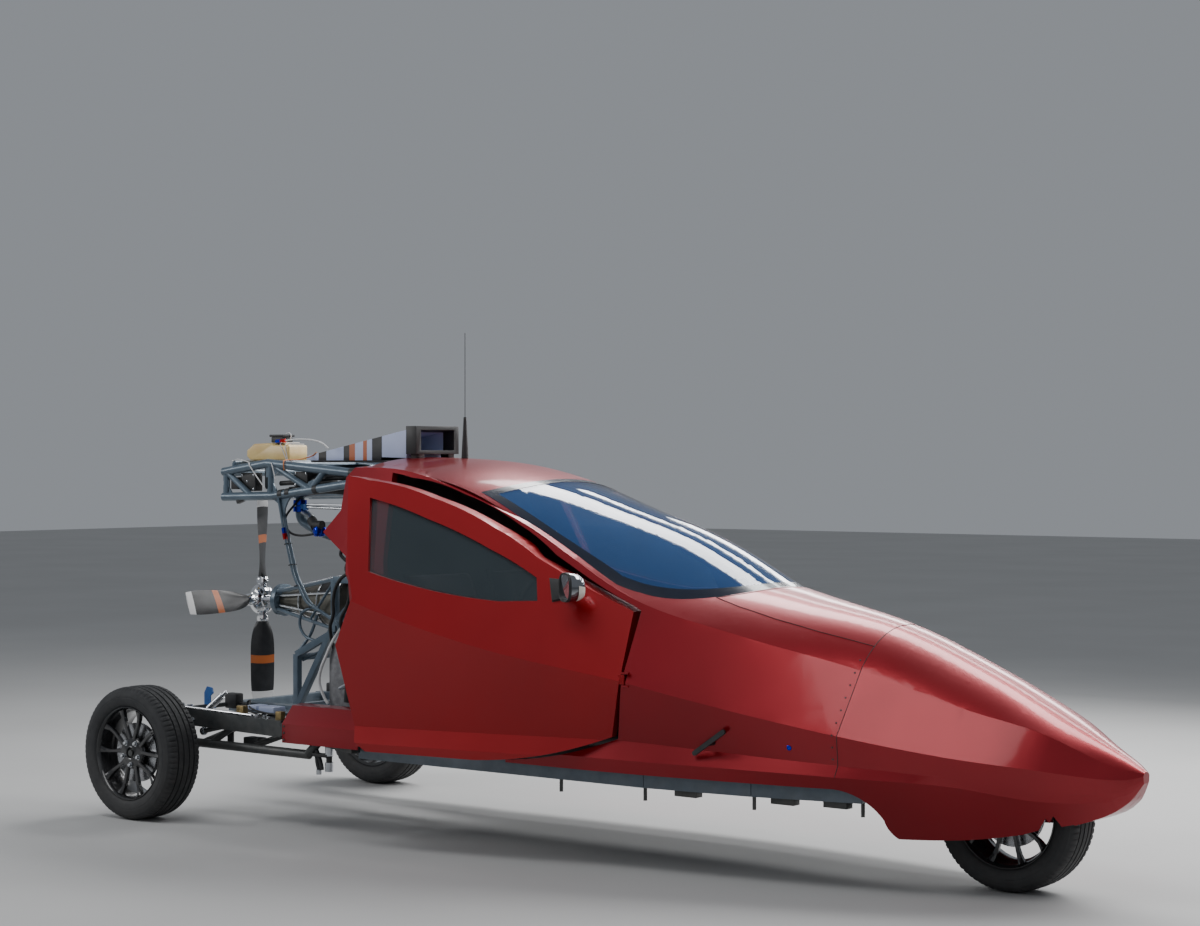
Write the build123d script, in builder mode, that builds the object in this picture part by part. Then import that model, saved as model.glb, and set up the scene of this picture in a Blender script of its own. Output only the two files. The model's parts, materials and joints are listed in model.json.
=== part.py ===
from build123d import *
import os
from math import cos, radians, sin

# Three-wheeled flying car, parked on its wheels, with an open frame behind the cabin.
# Millimetres. +X points to the nose, +Y to the left, +Z up, and the ground is z = 0.
# Stations along the car are given as the distance ahead of the rear axle.

# Overall sizes
overall_length = 5100
wheelbase = 4220
rear_track = 1660

# Tyres and rims
tyre_radius = 316
tyre_width = 205
bead_radius = 218
rim_radius = 221
rim_width = 180
spoke_pairs = 5
axle_radius = 14.95
axle_clearance = 0.05
steering_limit = 20
wheel_clearance = 8
rim_hub_radius = 34
lug_count = 5
lug_circle = 112
lug_hole = 13
disc_radius = 140
disc_thickness = 22
rear_axle_x = tyre_radius - overall_length / 2

# Body walls and gaps
body_wall = 25
door_wall = 45
glass_thickness = 6
glass_depth = 12
panel_gap = 10
seat_gap = 0.3
door_ajar = 11
hinge_ahead = 2800
hinge_side = 705
door_inner_limit = 440
pillar_cut_ahead = 2795
nose_seam_ahead = 3722
hollow_end_ahead = 4560
pillar_foot_z = 900

# Door hinges: a pin in two ears on the body, and a barrel on the door
hinge_z = 806
hinge_pin_radius = 4
hinge_barrel_radius = 8
hinge_barrel_height = 40
running_gap = 0.05

# Frame tubes
truss_tube = 42
thin_tube = 18
rail_size = 50
post_size = 38

# Propeller
propeller_z = 1005
propeller_ahead = -40
blade_count = 4
hub_radius = 62

# Each row is one cross-section of the body. Half-widths are measured from the centreline:
# ahead, top_z, shoulder_y, shoulder_z, crease_y, crease_z, tuck_y, tuck_z, sill_y, sill_z, base_y, base_z
body_sections = [
    (900, 1690, 462, 1672, 690, 1345, 650, 560, 672, 490, 655, 215),
    (1450, 1668, 500, 1648, 738, 1112, 652, 545, 680, 475, 662, 215),
    (2100, 1480, 525, 1440, 748, 925, 655, 545, 690, 472, 665, 215),
    (2750, 1258, 568, 1128, 722, 806, 640, 545, 675, 470, 630, 215),
    (3250, 1142, 475, 985, 640, 708, 585, 525, 620, 468, 545, 215),
    (3722, 1032, 352, 868, 530, 622, 520, 505, 545, 462, 420, 215),
    (4150, 862, 288, 738, 425, 560, 408, 480, 402, 445, 305, 228),
    (4450, 714, 205, 654, 298, 524, 275, 440, 262, 400, 178, 276),
    (4650, 598, 112, 552, 162, 492, 148, 430, 135, 398, 92, 338),
    (4740, 546, 62, 520, 82, 486, 78, 450, 72, 430, 52, 400),
    (overall_length - tyre_radius, 514, 20, 508, 26, 498, 25, 487, 24, 479, 20, 470),
]

# The glazed roof dome above the shoulders: ahead, crown_z, edge_y, edge_z
dome_sections = [
    (900, 1722, 462, 1655),
    (1500, 1700, 495, 1632),
    (1850, 1634, 505, 1545),
    (2250, 1520, 525, 1355),
    (2700, 1372, 560, 1120),
    (3150, 1150, 520, 900),
]
sections_between = 2


def eased_rows(rows, steps):
    """Rows of a section table with steps rows to each gap, on smooth curves through the given rows."""
    def slope(index, column):
        before = rows[max(index - 1, 0)]
        after = rows[min(index + 1, len(rows) - 1)]
        return (after[column] - before[column]) / (after[0] - before[0])

    eased = []
    for index in range(len(rows) - 1):
        here, there = rows[index], rows[index + 1]
        gap = there[0] - here[0]
        for step in range(steps):
            t = step / steps
            row = [here[0] + t * gap]
            for column in range(1, len(here)):
                rise = there[column] - here[column]
                start = slope(index, column) * gap - rise
                end = slope(index + 1, column) * gap - rise
                bend = t * (1 - t) * ((1 - t) * start - t * end)
                row.append(here[column] + t * rise + bend)
            eased.append(row)
    eased.append(list(rows[-1]))
    return eased


def at(ahead):
    """Frame x of a station given as a distance ahead of the rear axle."""
    return rear_axle_x + ahead


def body_half(inset, base_drop=0):
    """Left half of the body loft, its walls moved in by inset and its base lowered."""
    with BuildPart() as volume:
        for row in eased_rows(body_sections, sections_between):
            ahead, top_z, shoulder_y, shoulder_z, crease_y, crease_z, *lower = row
            if inset > 0 and ahead > hollow_end_ahead:
                continue
            tuck_y, tuck_z, sill_y, sill_z, base_y, base_z = lower
            side = [
                (0, base_z - base_drop),
                (base_y - inset, base_z - base_drop),
                (sill_y - inset, sill_z),
                (tuck_y - inset, tuck_z),
                (crease_y - inset, crease_z),
                (shoulder_y - inset, shoulder_z - inset),
            ]
            crown = (0, top_z - inset)
            with BuildSketch(Plane.YZ.offset(at(ahead))):
                with BuildLine():
                    Polyline(*side)
                    TangentArc(crown, side[-1], tangent=(1, 0))
                    Line(crown, side[0])
                make_face()
        loft(ruled=True)
    return volume.part


def dome_half(inset):
    """Left half of the roof and windshield dome, moved in by inset."""
    with BuildPart() as volume:
        for ahead, crown_z, edge_y, edge_z in eased_rows(dome_sections, sections_between):
            crown = (0, crown_z - inset)
            edge = (edge_y - inset, edge_z - inset)
            with BuildSketch(Plane.YZ.offset(at(ahead))):
                with BuildLine():
                    TangentArc(crown, edge, tangent=(1, 0))
                    Polyline(edge, (0, edge[1]), crown)
                make_face()
        loft(ruled=True)
    return volume.part


def bar(start, end, diameter, mode=Mode.ADD):
    """Round tube or rod between two points, added to the part being built."""
    along = Vector(*end) - Vector(*start)
    with BuildSketch(Plane(origin=start, z_dir=along)) as section:
        Circle(diameter / 2)
    extrude(section.sketch, amount=along.length, mode=mode)


def box_bar(start, end, width, height):
    """Rectangular tube between two points, its height kept upright."""
    along = Vector(*end) - Vector(*start)
    across = Vector(0, 0, 1).cross(along)
    if across.length < 1:
        across = Vector(0, 1, 0)
    with BuildSketch(Plane(origin=start, x_dir=across, z_dir=along)) as section:
        Rectangle(width, height)
    extrude(section.sketch, amount=along.length)


def finish(builder, label):
    """Name a finished piece and write it to its own file."""
    builder.part.label = label
    export_step(builder.part, f"parts/{label}.step")


def pipe(points, radii, diameter):
    """Bent tube along straight runs joined by arcs, added to the part being built."""
    with BuildLine() as path:
        FilletPolyline(*points, radius=radii)
    start = path.line @ 0
    with BuildSketch(Plane(origin=start, z_dir=path.line % 0)) as section:
        Circle(diameter / 2)
    sweep(section.sketch, path=path.line)


def mirrored(half):
    """A half on +Y joined with its image across the centre plane."""
    with BuildPart() as whole:
        add(half)
        mirror(half, about=Plane.XZ)
    return whole


os.makedirs("parts", exist_ok=True)

# Volumes that the panels are cut from, all on the left half
outer_half = body_half(0) + dome_half(0)
inner_half = body_half(body_wall, 60) + dome_half(body_wall)

# Side view of the whole shell: rear edge, and belly line up to the wheel fairing
with BuildSketch(Plane.XZ) as shell_outline:
    with BuildLine():
        Polyline(
            (at(1255), 418), (at(1255), 1165), (at(1209), 1272), (at(1028), 1376), (at(1081), 1476),
            (at(1029), 1626), (at(1066), 1676), (at(1066), 1760), (at(4790), 1760), (at(4790), 200),
            (at(3965), 200),
        )
        ThreePointArc((at(3965), 200), (at(3895), 232), (at(3872), 292))
        ThreePointArc((at(3872), 292), (at(3810), 372), (at(3700), 412))
        Line((at(3700), 412), (at(1255), 418))
    make_face()

# Door outline in side view, closed, and the opening round it, both outboard of the roof rail
door_plane = Plane.XZ.offset(-door_inner_limit)
with BuildSketch(door_plane) as door_outline:
    with BuildLine():
        ThreePointArc((at(1336), 1629), (at(1864), 1513), (at(2321), 1290))
        Polyline((at(2321), 1290), (at(2788), 1078), (at(2788), 801), (at(2719), 560))
        ThreePointArc((at(2719), 560), (at(2420), 474), (at(2076), 434))
        Polyline(
            (at(2076), 434), (at(1532), 440), (at(1475), 480), (at(1394), 900),
            (at(1502), 1107), (at(1437), 1261), (at(1336), 1629),
        )
    make_face()
with BuildSketch(door_plane) as door_opening:
    add(door_outline.sketch)
    offset(amount=panel_gap, kind=Kind.INTERSECTION)

# Door window, and its pane
with BuildSketch(door_plane) as window_outline:
    with BuildLine():
        ThreePointArc((at(1475), 1537), (at(1905), 1404), (at(2338), 1207))
        Polyline((at(2338), 1207), (at(2363), 1112), (at(2185), 1107))
        ThreePointArc((at(2185), 1107), (at(1860), 1148), (at(1549), 1221))
        Line((at(1549), 1221), (at(1475), 1537))
    make_face()
with BuildSketch(door_plane) as window_pane:
    add(window_outline.sketch)
    offset(amount=-seat_gap, kind=Kind.INTERSECTION)

# Windshield outline seen from above, on the dome only
with BuildSketch(Plane.XY.offset(900)) as windshield_outline:
    with BuildLine():
        Line((at(1830), -475), (at(2640), -540))
        ThreePointArc((at(2640), -540), (at(3130), 0), (at(2640), 540))
        Line((at(2640), 540), (at(1830), 475))
        ThreePointArc((at(1830), 475), (at(1915), 0), (at(1830), -475))
    make_face()
with BuildSketch(Plane.XY.offset(900)) as windshield_pane:
    add(windshield_outline.sketch)
    offset(amount=-seat_gap, kind=Kind.INTERSECTION)

# Service hatch in the hood, seen from above, ending at the nose seam
hatch_edge = [(3010, 345), (3130, 347), (3300, 330), (3500, 298), (nose_seam_ahead, 250)]
hatch_arc_ahead = 3140
with BuildSketch(Plane.XY.offset(700)) as hatch_outline:
    with BuildLine():
        Polyline(*[(at(ahead), half) for ahead, half in hatch_edge])
        Line((at(nose_seam_ahead), hatch_edge[-1][1]), (at(nose_seam_ahead), -hatch_edge[-1][1]))
        Polyline(*[(at(ahead), -half) for ahead, half in reversed(hatch_edge)])
        ThreePointArc((at(hatch_edge[0][0]), -hatch_edge[0][1]), (at(hatch_arc_ahead), 0),
                      (at(hatch_edge[0][0]), hatch_edge[0][1]))
    make_face()
with BuildSketch(Plane.XY.offset(700)) as hatch_panel:
    add(hatch_outline.sketch)
    offset(amount=-seat_gap, kind=Kind.INTERSECTION)

# The XZ plane faces -Y, so the left side lies at negative amounts
left = -1000

with BuildPart() as shell_half:
    add(outer_half)
    add(inner_half, mode=Mode.SUBTRACT)
    extrude(shell_outline.sketch, amount=left, mode=Mode.INTERSECT)

# Roof, pillars and rear side panels
with BuildPart() as cabin_half:
    add(shell_half.part)
    with BuildSketch(Plane.XZ):
        with BuildLine():
            Polyline(
                (at(800), 400), (at(2000), 400), (at(2000), pillar_foot_z),
                (at(pillar_cut_ahead), pillar_foot_z), (at(pillar_cut_ahead), 1120), (at(3060), 1170),
                (at(3060), 1800), (at(800), 1800), (at(800), 400),
            )
        make_face()
    extrude(amount=left, mode=Mode.INTERSECT)
    extrude(door_opening.sketch, amount=left, mode=Mode.SUBTRACT)
    extrude(windshield_outline.sketch, amount=900, mode=Mode.SUBTRACT)
cabin_shell = mirrored(cabin_half.solids().sort_by(SortBy.VOLUME)[-1])
finish(cabin_shell, "cabin_shell")

# Hood, front sides and the sill strips that run back under the doors
ear_thickness = 8
ear_top = hinge_barrel_height / 2 + 3 + ear_thickness
with BuildPart() as front_half:
    add(shell_half.part)
    with BuildSketch(Plane.XZ):
        with BuildLine():
            Polyline(
                (at(2150), 380), (at(2150), pillar_foot_z), (at(pillar_cut_ahead), pillar_foot_z),
                (at(pillar_cut_ahead), 1120), (at(3060), 1170), (at(3060), 1300),
                (at(nose_seam_ahead), 1300), (at(nose_seam_ahead), 380), (at(2150), 380),
            )
        make_face()
    extrude(amount=left, mode=Mode.INTERSECT)
    extrude(door_opening.sketch, amount=left, mode=Mode.SUBTRACT)
    extrude(windshield_outline.sketch, amount=900, mode=Mode.SUBTRACT)
    extrude(hatch_outline.sketch, amount=600, mode=Mode.SUBTRACT)
    with BuildSketch(Plane.XY.offset(hinge_z - ear_top)):
        with Locations((at(hinge_ahead + 4), hinge_side)):
            Rectangle(28, 60)
    extrude(amount=2 * ear_top, mode=Mode.SUBTRACT)
    for ear_z in (hinge_z - ear_top, hinge_z + ear_top - ear_thickness):
        with BuildSketch(Plane.XY.offset(ear_z)):
            with Locations((at(hinge_ahead + 13), hinge_side)):
                Rectangle(38, 14)
        extrude(amount=ear_thickness)
    with BuildSketch(Plane.XY.offset(hinge_z - ear_top)):
        with Locations((at(hinge_ahead), hinge_side)):
            Circle(hinge_pin_radius)
    extrude(amount=2 * ear_top)
front_body = mirrored(front_half.part)
finish(front_body, "front_body")

with BuildPart() as hatch_half:
    add(shell_half.part)
    extrude(hatch_panel.sketch, amount=600, mode=Mode.INTERSECT)
hood_hatch = mirrored(hatch_half.part)
finish(hood_hatch, "hood_hatch")

# Nose cone, open below for the wheel
with BuildPart() as nose_half:
    add(shell_half.part)
    with BuildSketch(Plane.XZ):
        with BuildLine():
            Polyline(
                (at(nose_seam_ahead), 100), (at(nose_seam_ahead), 1300), (at(4900), 1300), (at(4900), 100),
                (at(nose_seam_ahead), 100),
            )
        make_face()
    extrude(amount=left, mode=Mode.INTERSECT)
    for turn in (-steering_limit, -steering_limit / 2, 0, steering_limit / 2, steering_limit):
        with Locations((at(wheelbase), 0, tyre_radius)):
            Cylinder(tyre_radius + wheel_clearance, tyre_width - 20, rotation=(90, turn, 0),
                     mode=Mode.SUBTRACT)
            Cylinder(tyre_radius - 16, tyre_width + 2 * wheel_clearance, rotation=(90, turn, 0),
                     mode=Mode.SUBTRACT)
nose_cone = mirrored(nose_half.solids().sort_by(SortBy.VOLUME)[-1])
finish(nose_cone, "nose_cone")

# Windshield pane
with BuildPart() as windshield_half:
    add(dome_half(0))
    extrude(windshield_pane.sketch, amount=900, mode=Mode.INTERSECT)
    add(dome_half(glass_thickness), mode=Mode.SUBTRACT)
windshield = mirrored(windshield_half.part)
finish(windshield, "windshield")

# Left door and its window
with BuildPart() as door_left:
    add(outer_half)
    add(body_half(door_wall, 60), mode=Mode.SUBTRACT)
    add(dome_half(door_wall), mode=Mode.SUBTRACT)
    extrude(door_outline.sketch, amount=left, mode=Mode.INTERSECT)
    extrude(window_outline.sketch, amount=left, mode=Mode.SUBTRACT)
    with BuildSketch(Plane.XY.offset(hinge_z - hinge_barrel_height / 2)):
        with Locations((at(hinge_ahead - 10), hinge_side)):
            Rectangle(20, 10)
        with Locations((at(hinge_ahead), hinge_side)):
            Circle(hinge_barrel_radius)
            Circle(hinge_pin_radius + running_gap, mode=Mode.SUBTRACT)
    extrude(amount=hinge_barrel_height)
finish(door_left, "door_left")
with BuildPart() as door_window_left:
    add(body_half(glass_depth))
    extrude(window_pane.sketch, amount=left, mode=Mode.INTERSECT)
    add(body_half(glass_depth + glass_thickness), mode=Mode.SUBTRACT)
finish(door_window_left, "door_window_left")

# Right door, hung ajar on its hinge axis
right_hinge = Axis((at(hinge_ahead), -hinge_side, 0), (0, 0, 1))


def hung_ajar(piece):
    """Image of a left-hand door piece on the right, turned to where the door stands."""
    return piece.mirror(Plane.XZ).rotate(right_hinge, door_ajar)


with BuildPart() as door_right:
    add(hung_ajar(door_left.part))
finish(door_right, "door_right")
with BuildPart() as door_window_right:
    add(hung_ajar(door_window_left.part))
finish(door_window_right, "door_window_right")

# Mirror on the right door: an arm from the door, and a housing with a glass recess facing aft
mirror_ahead = 2575
mirror_side = 698
mirror_z = 1178
with BuildPart() as mirror_form:
    with BuildSketch(Plane.YZ.offset(at(mirror_ahead - 45))):
        with Locations((mirror_side, mirror_z)):
            RectangleRounded(104, 126, 46)
    with BuildSketch(Plane.YZ.offset(at(mirror_ahead + 10))):
        with Locations((mirror_side, mirror_z)):
            RectangleRounded(98, 116, 44)
    with BuildSketch(Plane.YZ.offset(at(mirror_ahead + 52))):
        with Locations((mirror_side, mirror_z - 4)):
            RectangleRounded(56, 68, 27)
    loft()
    with BuildSketch(Plane.YZ.offset(at(mirror_ahead - 45))):
        with Locations((mirror_side, mirror_z)):
            RectangleRounded(90, 112, 40)
    extrude(amount=8, mode=Mode.SUBTRACT)
    bar((at(mirror_ahead - 85), 560, mirror_z - 12), (at(mirror_ahead - 10), mirror_side - 20, mirror_z - 20),
        36)
    add(body_half(0), mode=Mode.SUBTRACT)
with BuildPart() as mirror_right:
    add(hung_ajar(mirror_form.part))
finish(mirror_right, "mirror_right")

# Cabin tub: floor with side sills, and the bulkhead behind the seats
tub_outline = [(1262, 588), (2760, 580), (3250, 520), (3690, 420)]
tub_floor_z = 426
tub_sill_height = 80
bulkhead_ahead = 1262
bulkhead_thickness = 12
with BuildPart() as cabin_tub:
    with BuildSketch(Plane.XY.offset(tub_floor_z)) as tub_floor:
        with BuildLine():
            Polyline(
                *[(at(x), y) for x, y in tub_outline],
                *[(at(x), -y) for x, y in reversed(tub_outline)],
                (at(tub_outline[0][0]), tub_outline[0][1]),
            )
        make_face()
    extrude(amount=15)
    with BuildSketch(Plane.XY.offset(tub_floor_z)) as tub_rim:
        add(tub_floor.sketch)
        offset(tub_floor.sketch, amount=-28, kind=Kind.INTERSECTION, mode=Mode.SUBTRACT)
    extrude(amount=tub_sill_height)
with BuildPart() as bulkhead_half:
    add(body_half(body_wall + seat_gap))
    add(dome_half(body_wall + seat_gap))
    with BuildSketch(Plane.XZ):
        with Locations((at(bulkhead_ahead + bulkhead_thickness / 2), tub_floor_z + 740)):
            Rectangle(bulkhead_thickness, 1480)
    extrude(amount=left, mode=Mode.INTERSECT)
with BuildPart() as bulkhead:
    add(bulkhead_half.part)
    mirror(bulkhead_half.part, about=Plane.XZ)
    add(cabin_tub.part, mode=Mode.SUBTRACT)
finish(cabin_tub, "cabin_tub")
finish(bulkhead, "bulkhead")

# Seats: two bucket frames, each with a base cushion and a back cushion
seat_side = 285
seat_width = 440
seat_front_ahead = 2080
seat_hip_ahead = 1600
seat_top_ahead = 1400
seat_base_z = 520
seat_top_z = 1190
shell_thickness = 14
seat_profile = [
    (seat_front_ahead, seat_base_z + 40), (seat_hip_ahead, seat_base_z), (seat_top_ahead, seat_top_z),
]
with BuildPart() as seat_frames:
    for side in (-seat_side, seat_side):
        with BuildSketch(Plane.XZ.offset(-side - seat_width / 2)):
            with BuildLine():
                Polyline(*[(at(x), z) for x, z in seat_profile])
                offset(amount=shell_thickness, side=Side.LEFT)
            make_face()
        extrude(amount=seat_width)
        with BuildSketch(Plane.XY.offset(tub_floor_z + 15)):
            with Locations((at(1850), side - 150), (at(1850), side + 150)):
                Rectangle(330, 30)
        extrude(amount=seat_base_z - tub_floor_z - 15 + 2)
finish(seat_frames, "seat_frames")

cushion_thickness = 70
cushion_inset = 18
cushion_start = 95
with BuildPart() as seat_cushions:
    for side in (-seat_side, seat_side):
        width = seat_width - 2 * cushion_inset
        for start, end in ((seat_profile[1], seat_profile[0]), (seat_profile[1], seat_profile[2])):
            run = Vector(end[0] - start[0], 0, end[1] - start[1])
            upward = 1 if start[1] + 100 > end[1] else -1
            rise = Vector(-run.Z, 0, run.X).normalized() * upward
            corner = Vector(at(start[0]), side, start[1]) + run.normalized() * cushion_start
            corner += rise * seat_gap
            length = run.length - cushion_start - 12
            with BuildSketch(Plane(origin=corner + rise * cushion_thickness / 2, x_dir=(0, 1, 0), z_dir=run)):
                RectangleRounded(width, cushion_thickness, 24)
            extrude(amount=length)
finish(seat_cushions, "seat_cushions")

# Dashboard, and the steering wheel on its column
with BuildPart() as dashboard:
    with BuildSketch(Plane.XZ):
        with BuildLine():
            Polyline((at(2380), 905), (at(2330), 1010), (at(2385), 1065), (at(2640), 1085), (at(2700), 905),
                     (at(2380), 905))
        make_face()
    extrude(amount=490, both=True)
    with BuildSketch(Plane.XY.offset(tub_floor_z + 15)):
        with Locations((at(2600), 0)):
            Rectangle(80, 120)
    extrude(amount=480)
finish(dashboard, "dashboard")

wheel_side = -seat_side
wheel_ahead = 2010
wheel_z = 985
wheel_ring_radius = 165
with BuildPart() as steering_wheel:
    column_base = Vector(at(2352), wheel_side, 958)
    hub_centre = Vector(at(wheel_ahead), wheel_side, wheel_z + 40)
    axis_line = column_base - hub_centre
    ring_plane = Plane(origin=hub_centre, x_dir=(0, 1, 0), z_dir=axis_line)
    ring_section = Plane(origin=hub_centre + ring_plane.x_dir * wheel_ring_radius, x_dir=ring_plane.x_dir,
                         z_dir=ring_plane.y_dir)
    with BuildSketch(ring_section):
        Circle(13)
    revolve(axis=Axis(hub_centre, axis_line))
    with BuildSketch(ring_plane):
        Circle(45)
        Rectangle(2 * wheel_ring_radius, 30)
        with Locations((0, -wheel_ring_radius / 2)):
            Rectangle(30, wheel_ring_radius)
    extrude(amount=12)
    with BuildSketch(ring_plane):
        Circle(19)
    extrude(amount=axis_line.length + 30)
    add(dashboard.part, mode=Mode.SUBTRACT)
finish(steering_wheel, "steering_wheel")

# Belly frame under the cabin, with the steering head at its front
belly_top = 417.5
belly_height = 70
belly_rail_width = 50
belly_z = belly_top - belly_height / 2
belly_plan = [(1175, 545), (2800, 545), (3300, 490), (3760, 385)]
stem_radius = 20
bearing_clearance = 0.05
head_tube_radius = 36
head_tube_low = 700
head_tube_high = 770
with BuildPart() as belly_frame:
    for side in (1, -1):
        for near, far in zip(belly_plan, belly_plan[1:]):
            box_bar((at(near[0]), side * near[1], belly_z), (at(far[0]), side * far[1], belly_z),
                    belly_rail_width, belly_height)
    for ahead, half in ((1200, 565), (1900, 560), (2600, 560), (3300, 505), (3735, 405)):
        box_bar((at(ahead), -half, belly_z), (at(ahead), half, belly_z), belly_rail_width, belly_height)
    for side in (1, -1):
        box_bar((at(3735), side * 110, belly_top), (at(3735), side * 110, 735), 50, 50)
        box_bar((at(3720), side * 110, 735), (at(wheelbase), side * 30, 735), 28, 50)
    box_bar((at(3735), -135, 735), (at(3735), 135, 735), 50, 50)
    with BuildSketch(Plane.XY.offset(head_tube_low)):
        with Locations((at(wheelbase), 0)):
            Circle(head_tube_radius)
    extrude(amount=head_tube_high - head_tube_low)
    with BuildSketch(Plane.XY.offset(head_tube_low)):
        with Locations((at(wheelbase), 0)):
            Circle(stem_radius + bearing_clearance)
    extrude(amount=head_tube_high - head_tube_low, mode=Mode.SUBTRACT)
finish(belly_frame, "belly_frame")

# Blocks and short rods under the belly rails
belly_bottom = belly_top - belly_height
with BuildPart() as belly_fittings:
    for ahead, half in ((2980, 498), (3420, 440), (3640, 392)):
        for side in (1, -1):
            with BuildSketch(Plane.XY.offset(belly_bottom)):
                with Locations((at(ahead), side * half)):
                    Rectangle(110, 46)
            extrude(amount=-28)
    for ahead, half in ((2330, 528), (2780, 528), (3290, 470), (3745, 372)):
        for side in (1, -1):
            with BuildSketch(Plane.XY.offset(belly_bottom)):
                with Locations((at(ahead), side * half)):
                    Circle(8)
            extrude(amount=-58)
finish(belly_fittings, "belly_fittings")

# Steering fork with its stem, legs and axle
fork_leg_inner = 126
fork_leg_thickness = 26
fork_crown_z = 650
fork_crown_height = 36
with BuildPart() as front_fork:
    with BuildSketch(Plane.XY.offset(fork_crown_z)):
        with Locations((at(wheelbase), 0)):
            RectangleRounded(90, 2 * (fork_leg_inner + fork_leg_thickness), 20)
    extrude(amount=fork_crown_height)
    with BuildSketch(Plane.XY.offset(fork_crown_z + fork_crown_height)):
        with Locations((at(wheelbase), 0)):
            Circle(stem_radius)
    extrude(amount=head_tube_high - fork_crown_z - fork_crown_height + 8)
    for side in (1, -1):
        with BuildSketch(Plane.XZ.offset(-side * (fork_leg_inner + fork_leg_thickness / 2))):
            with BuildLine():
                Line((at(wheelbase) - 42, fork_crown_z + 2), (at(wheelbase) - 30, tyre_radius))
                ThreePointArc((at(wheelbase) - 30, tyre_radius), (at(wheelbase), tyre_radius - 30),
                              (at(wheelbase) + 30, tyre_radius))
                Line((at(wheelbase) + 30, tyre_radius), (at(wheelbase) + 42, fork_crown_z + 2))
                Line((at(wheelbase) + 42, fork_crown_z + 2), (at(wheelbase) - 42, fork_crown_z + 2))
            make_face()
        extrude(amount=fork_leg_thickness / 2, both=True)
    with BuildSketch(Plane.XZ):
        with Locations((at(wheelbase), tyre_radius)):
            Circle(axle_radius)
    extrude(amount=fork_leg_inner + fork_leg_thickness + 8, both=True)
finish(front_fork, "front_fork")

# Wheels: revolved tyre and rim sections, as (distance along the axle, radius)
tyre_half = tyre_width / 2
rim_half = rim_width / 2
with BuildPart() as tyre_form:
    with BuildSketch(Plane.YZ):
        with BuildLine():
            Line((-rim_half + 12, rim_radius + 1), (-tyre_half, 262))
            ThreePointArc((-tyre_half, 262), (-tyre_half + 8, 296), (-tyre_half + 26, tyre_radius - 4))
            ThreePointArc((-tyre_half + 26, tyre_radius - 4), (0, tyre_radius),
                          (tyre_half - 26, tyre_radius - 4))
            ThreePointArc((tyre_half - 26, tyre_radius - 4), (tyre_half - 8, 296), (tyre_half, 262))
            Line((tyre_half, 262), (rim_half - 12, rim_radius + 1))
            Line((rim_half - 12, rim_radius + 1), (rim_half - 12, bead_radius - 10))
            Line((rim_half - 12, bead_radius - 10), (-rim_half + 12, bead_radius - 10))
            Line((-rim_half + 12, bead_radius - 10), (-rim_half + 12, rim_radius + 1))
        make_face()
    revolve(axis=Axis.Y)

barrel_well = 186
spoke_outer_face = -78
spoke_depth = 30
with BuildPart() as rim_form:
    with BuildSketch(Plane.YZ):
        with BuildLine():
            Polyline(
                (-rim_half, rim_radius), (-rim_half + 11.7, rim_radius),
                (-rim_half + 11.7, bead_radius - 10.3),
                (-40, bead_radius - 12), (-25, barrel_well + 8), (35, barrel_well + 8),
                (50, bead_radius - 12), (rim_half - 11.7, bead_radius - 10.3),
                (rim_half - 11.7, rim_radius), (rim_half, rim_radius), (rim_half, bead_radius - 18),
                (45, bead_radius - 20), (30, barrel_well), (-30, barrel_well), (-rim_half, bead_radius - 16),
                close=True,
            )
        make_face()
    revolve(axis=Axis.Y)
    with BuildSketch(Plane.XZ.offset(-spoke_outer_face - spoke_depth)) as spoke_face:
        Circle(72)
        with PolarLocations(0, spoke_pairs):
            for lean in (-1, 1):
                Polygon(
                    (40, lean * 10), (barrel_well + 6, lean * 34), (barrel_well + 6, lean * 60),
                    (40, lean * 34), align=None,
                )
        Circle(axle_radius + axle_clearance, mode=Mode.SUBTRACT)
        with PolarLocations(lug_circle / 2, lug_count):
            Circle(lug_hole / 2, mode=Mode.SUBTRACT)
    extrude(amount=spoke_depth)
    with BuildSketch(Plane.XZ.offset(-spoke_outer_face - spoke_depth)):
        Circle(rim_hub_radius)
        Circle(axle_radius + axle_clearance, mode=Mode.SUBTRACT)
    extrude(amount=-120)

with BuildPart() as disc_form:
    with BuildSketch(Plane.XZ.offset(-10)):
        Circle(disc_radius)
        Circle(rim_hub_radius + seat_gap, mode=Mode.SUBTRACT)
    extrude(amount=-disc_thickness)


def wheel_at(ahead, side, outer_side):
    """Location of a wheel whose spoked face looks to outer_side, -1 for right and 1 for left."""
    turn = 0 if outer_side < 0 else 180
    return Location((at(ahead), side, tyre_radius), (0, 0, turn))


wheel_places = {
    "front": wheel_at(wheelbase, 0, -1),
    "rear_left": wheel_at(0, rear_track / 2, 1),
    "rear_right": wheel_at(0, -rear_track / 2, -1),
}
for name, place in wheel_places.items():
    for form, label in ((tyre_form, "tyre"), (rim_form, "rim"), (disc_form, "brake_disc")):
        with BuildPart() as wheel_piece:
            add(form.part.moved(place))
        finish(wheel_piece, f"{name}_{label}")

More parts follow.
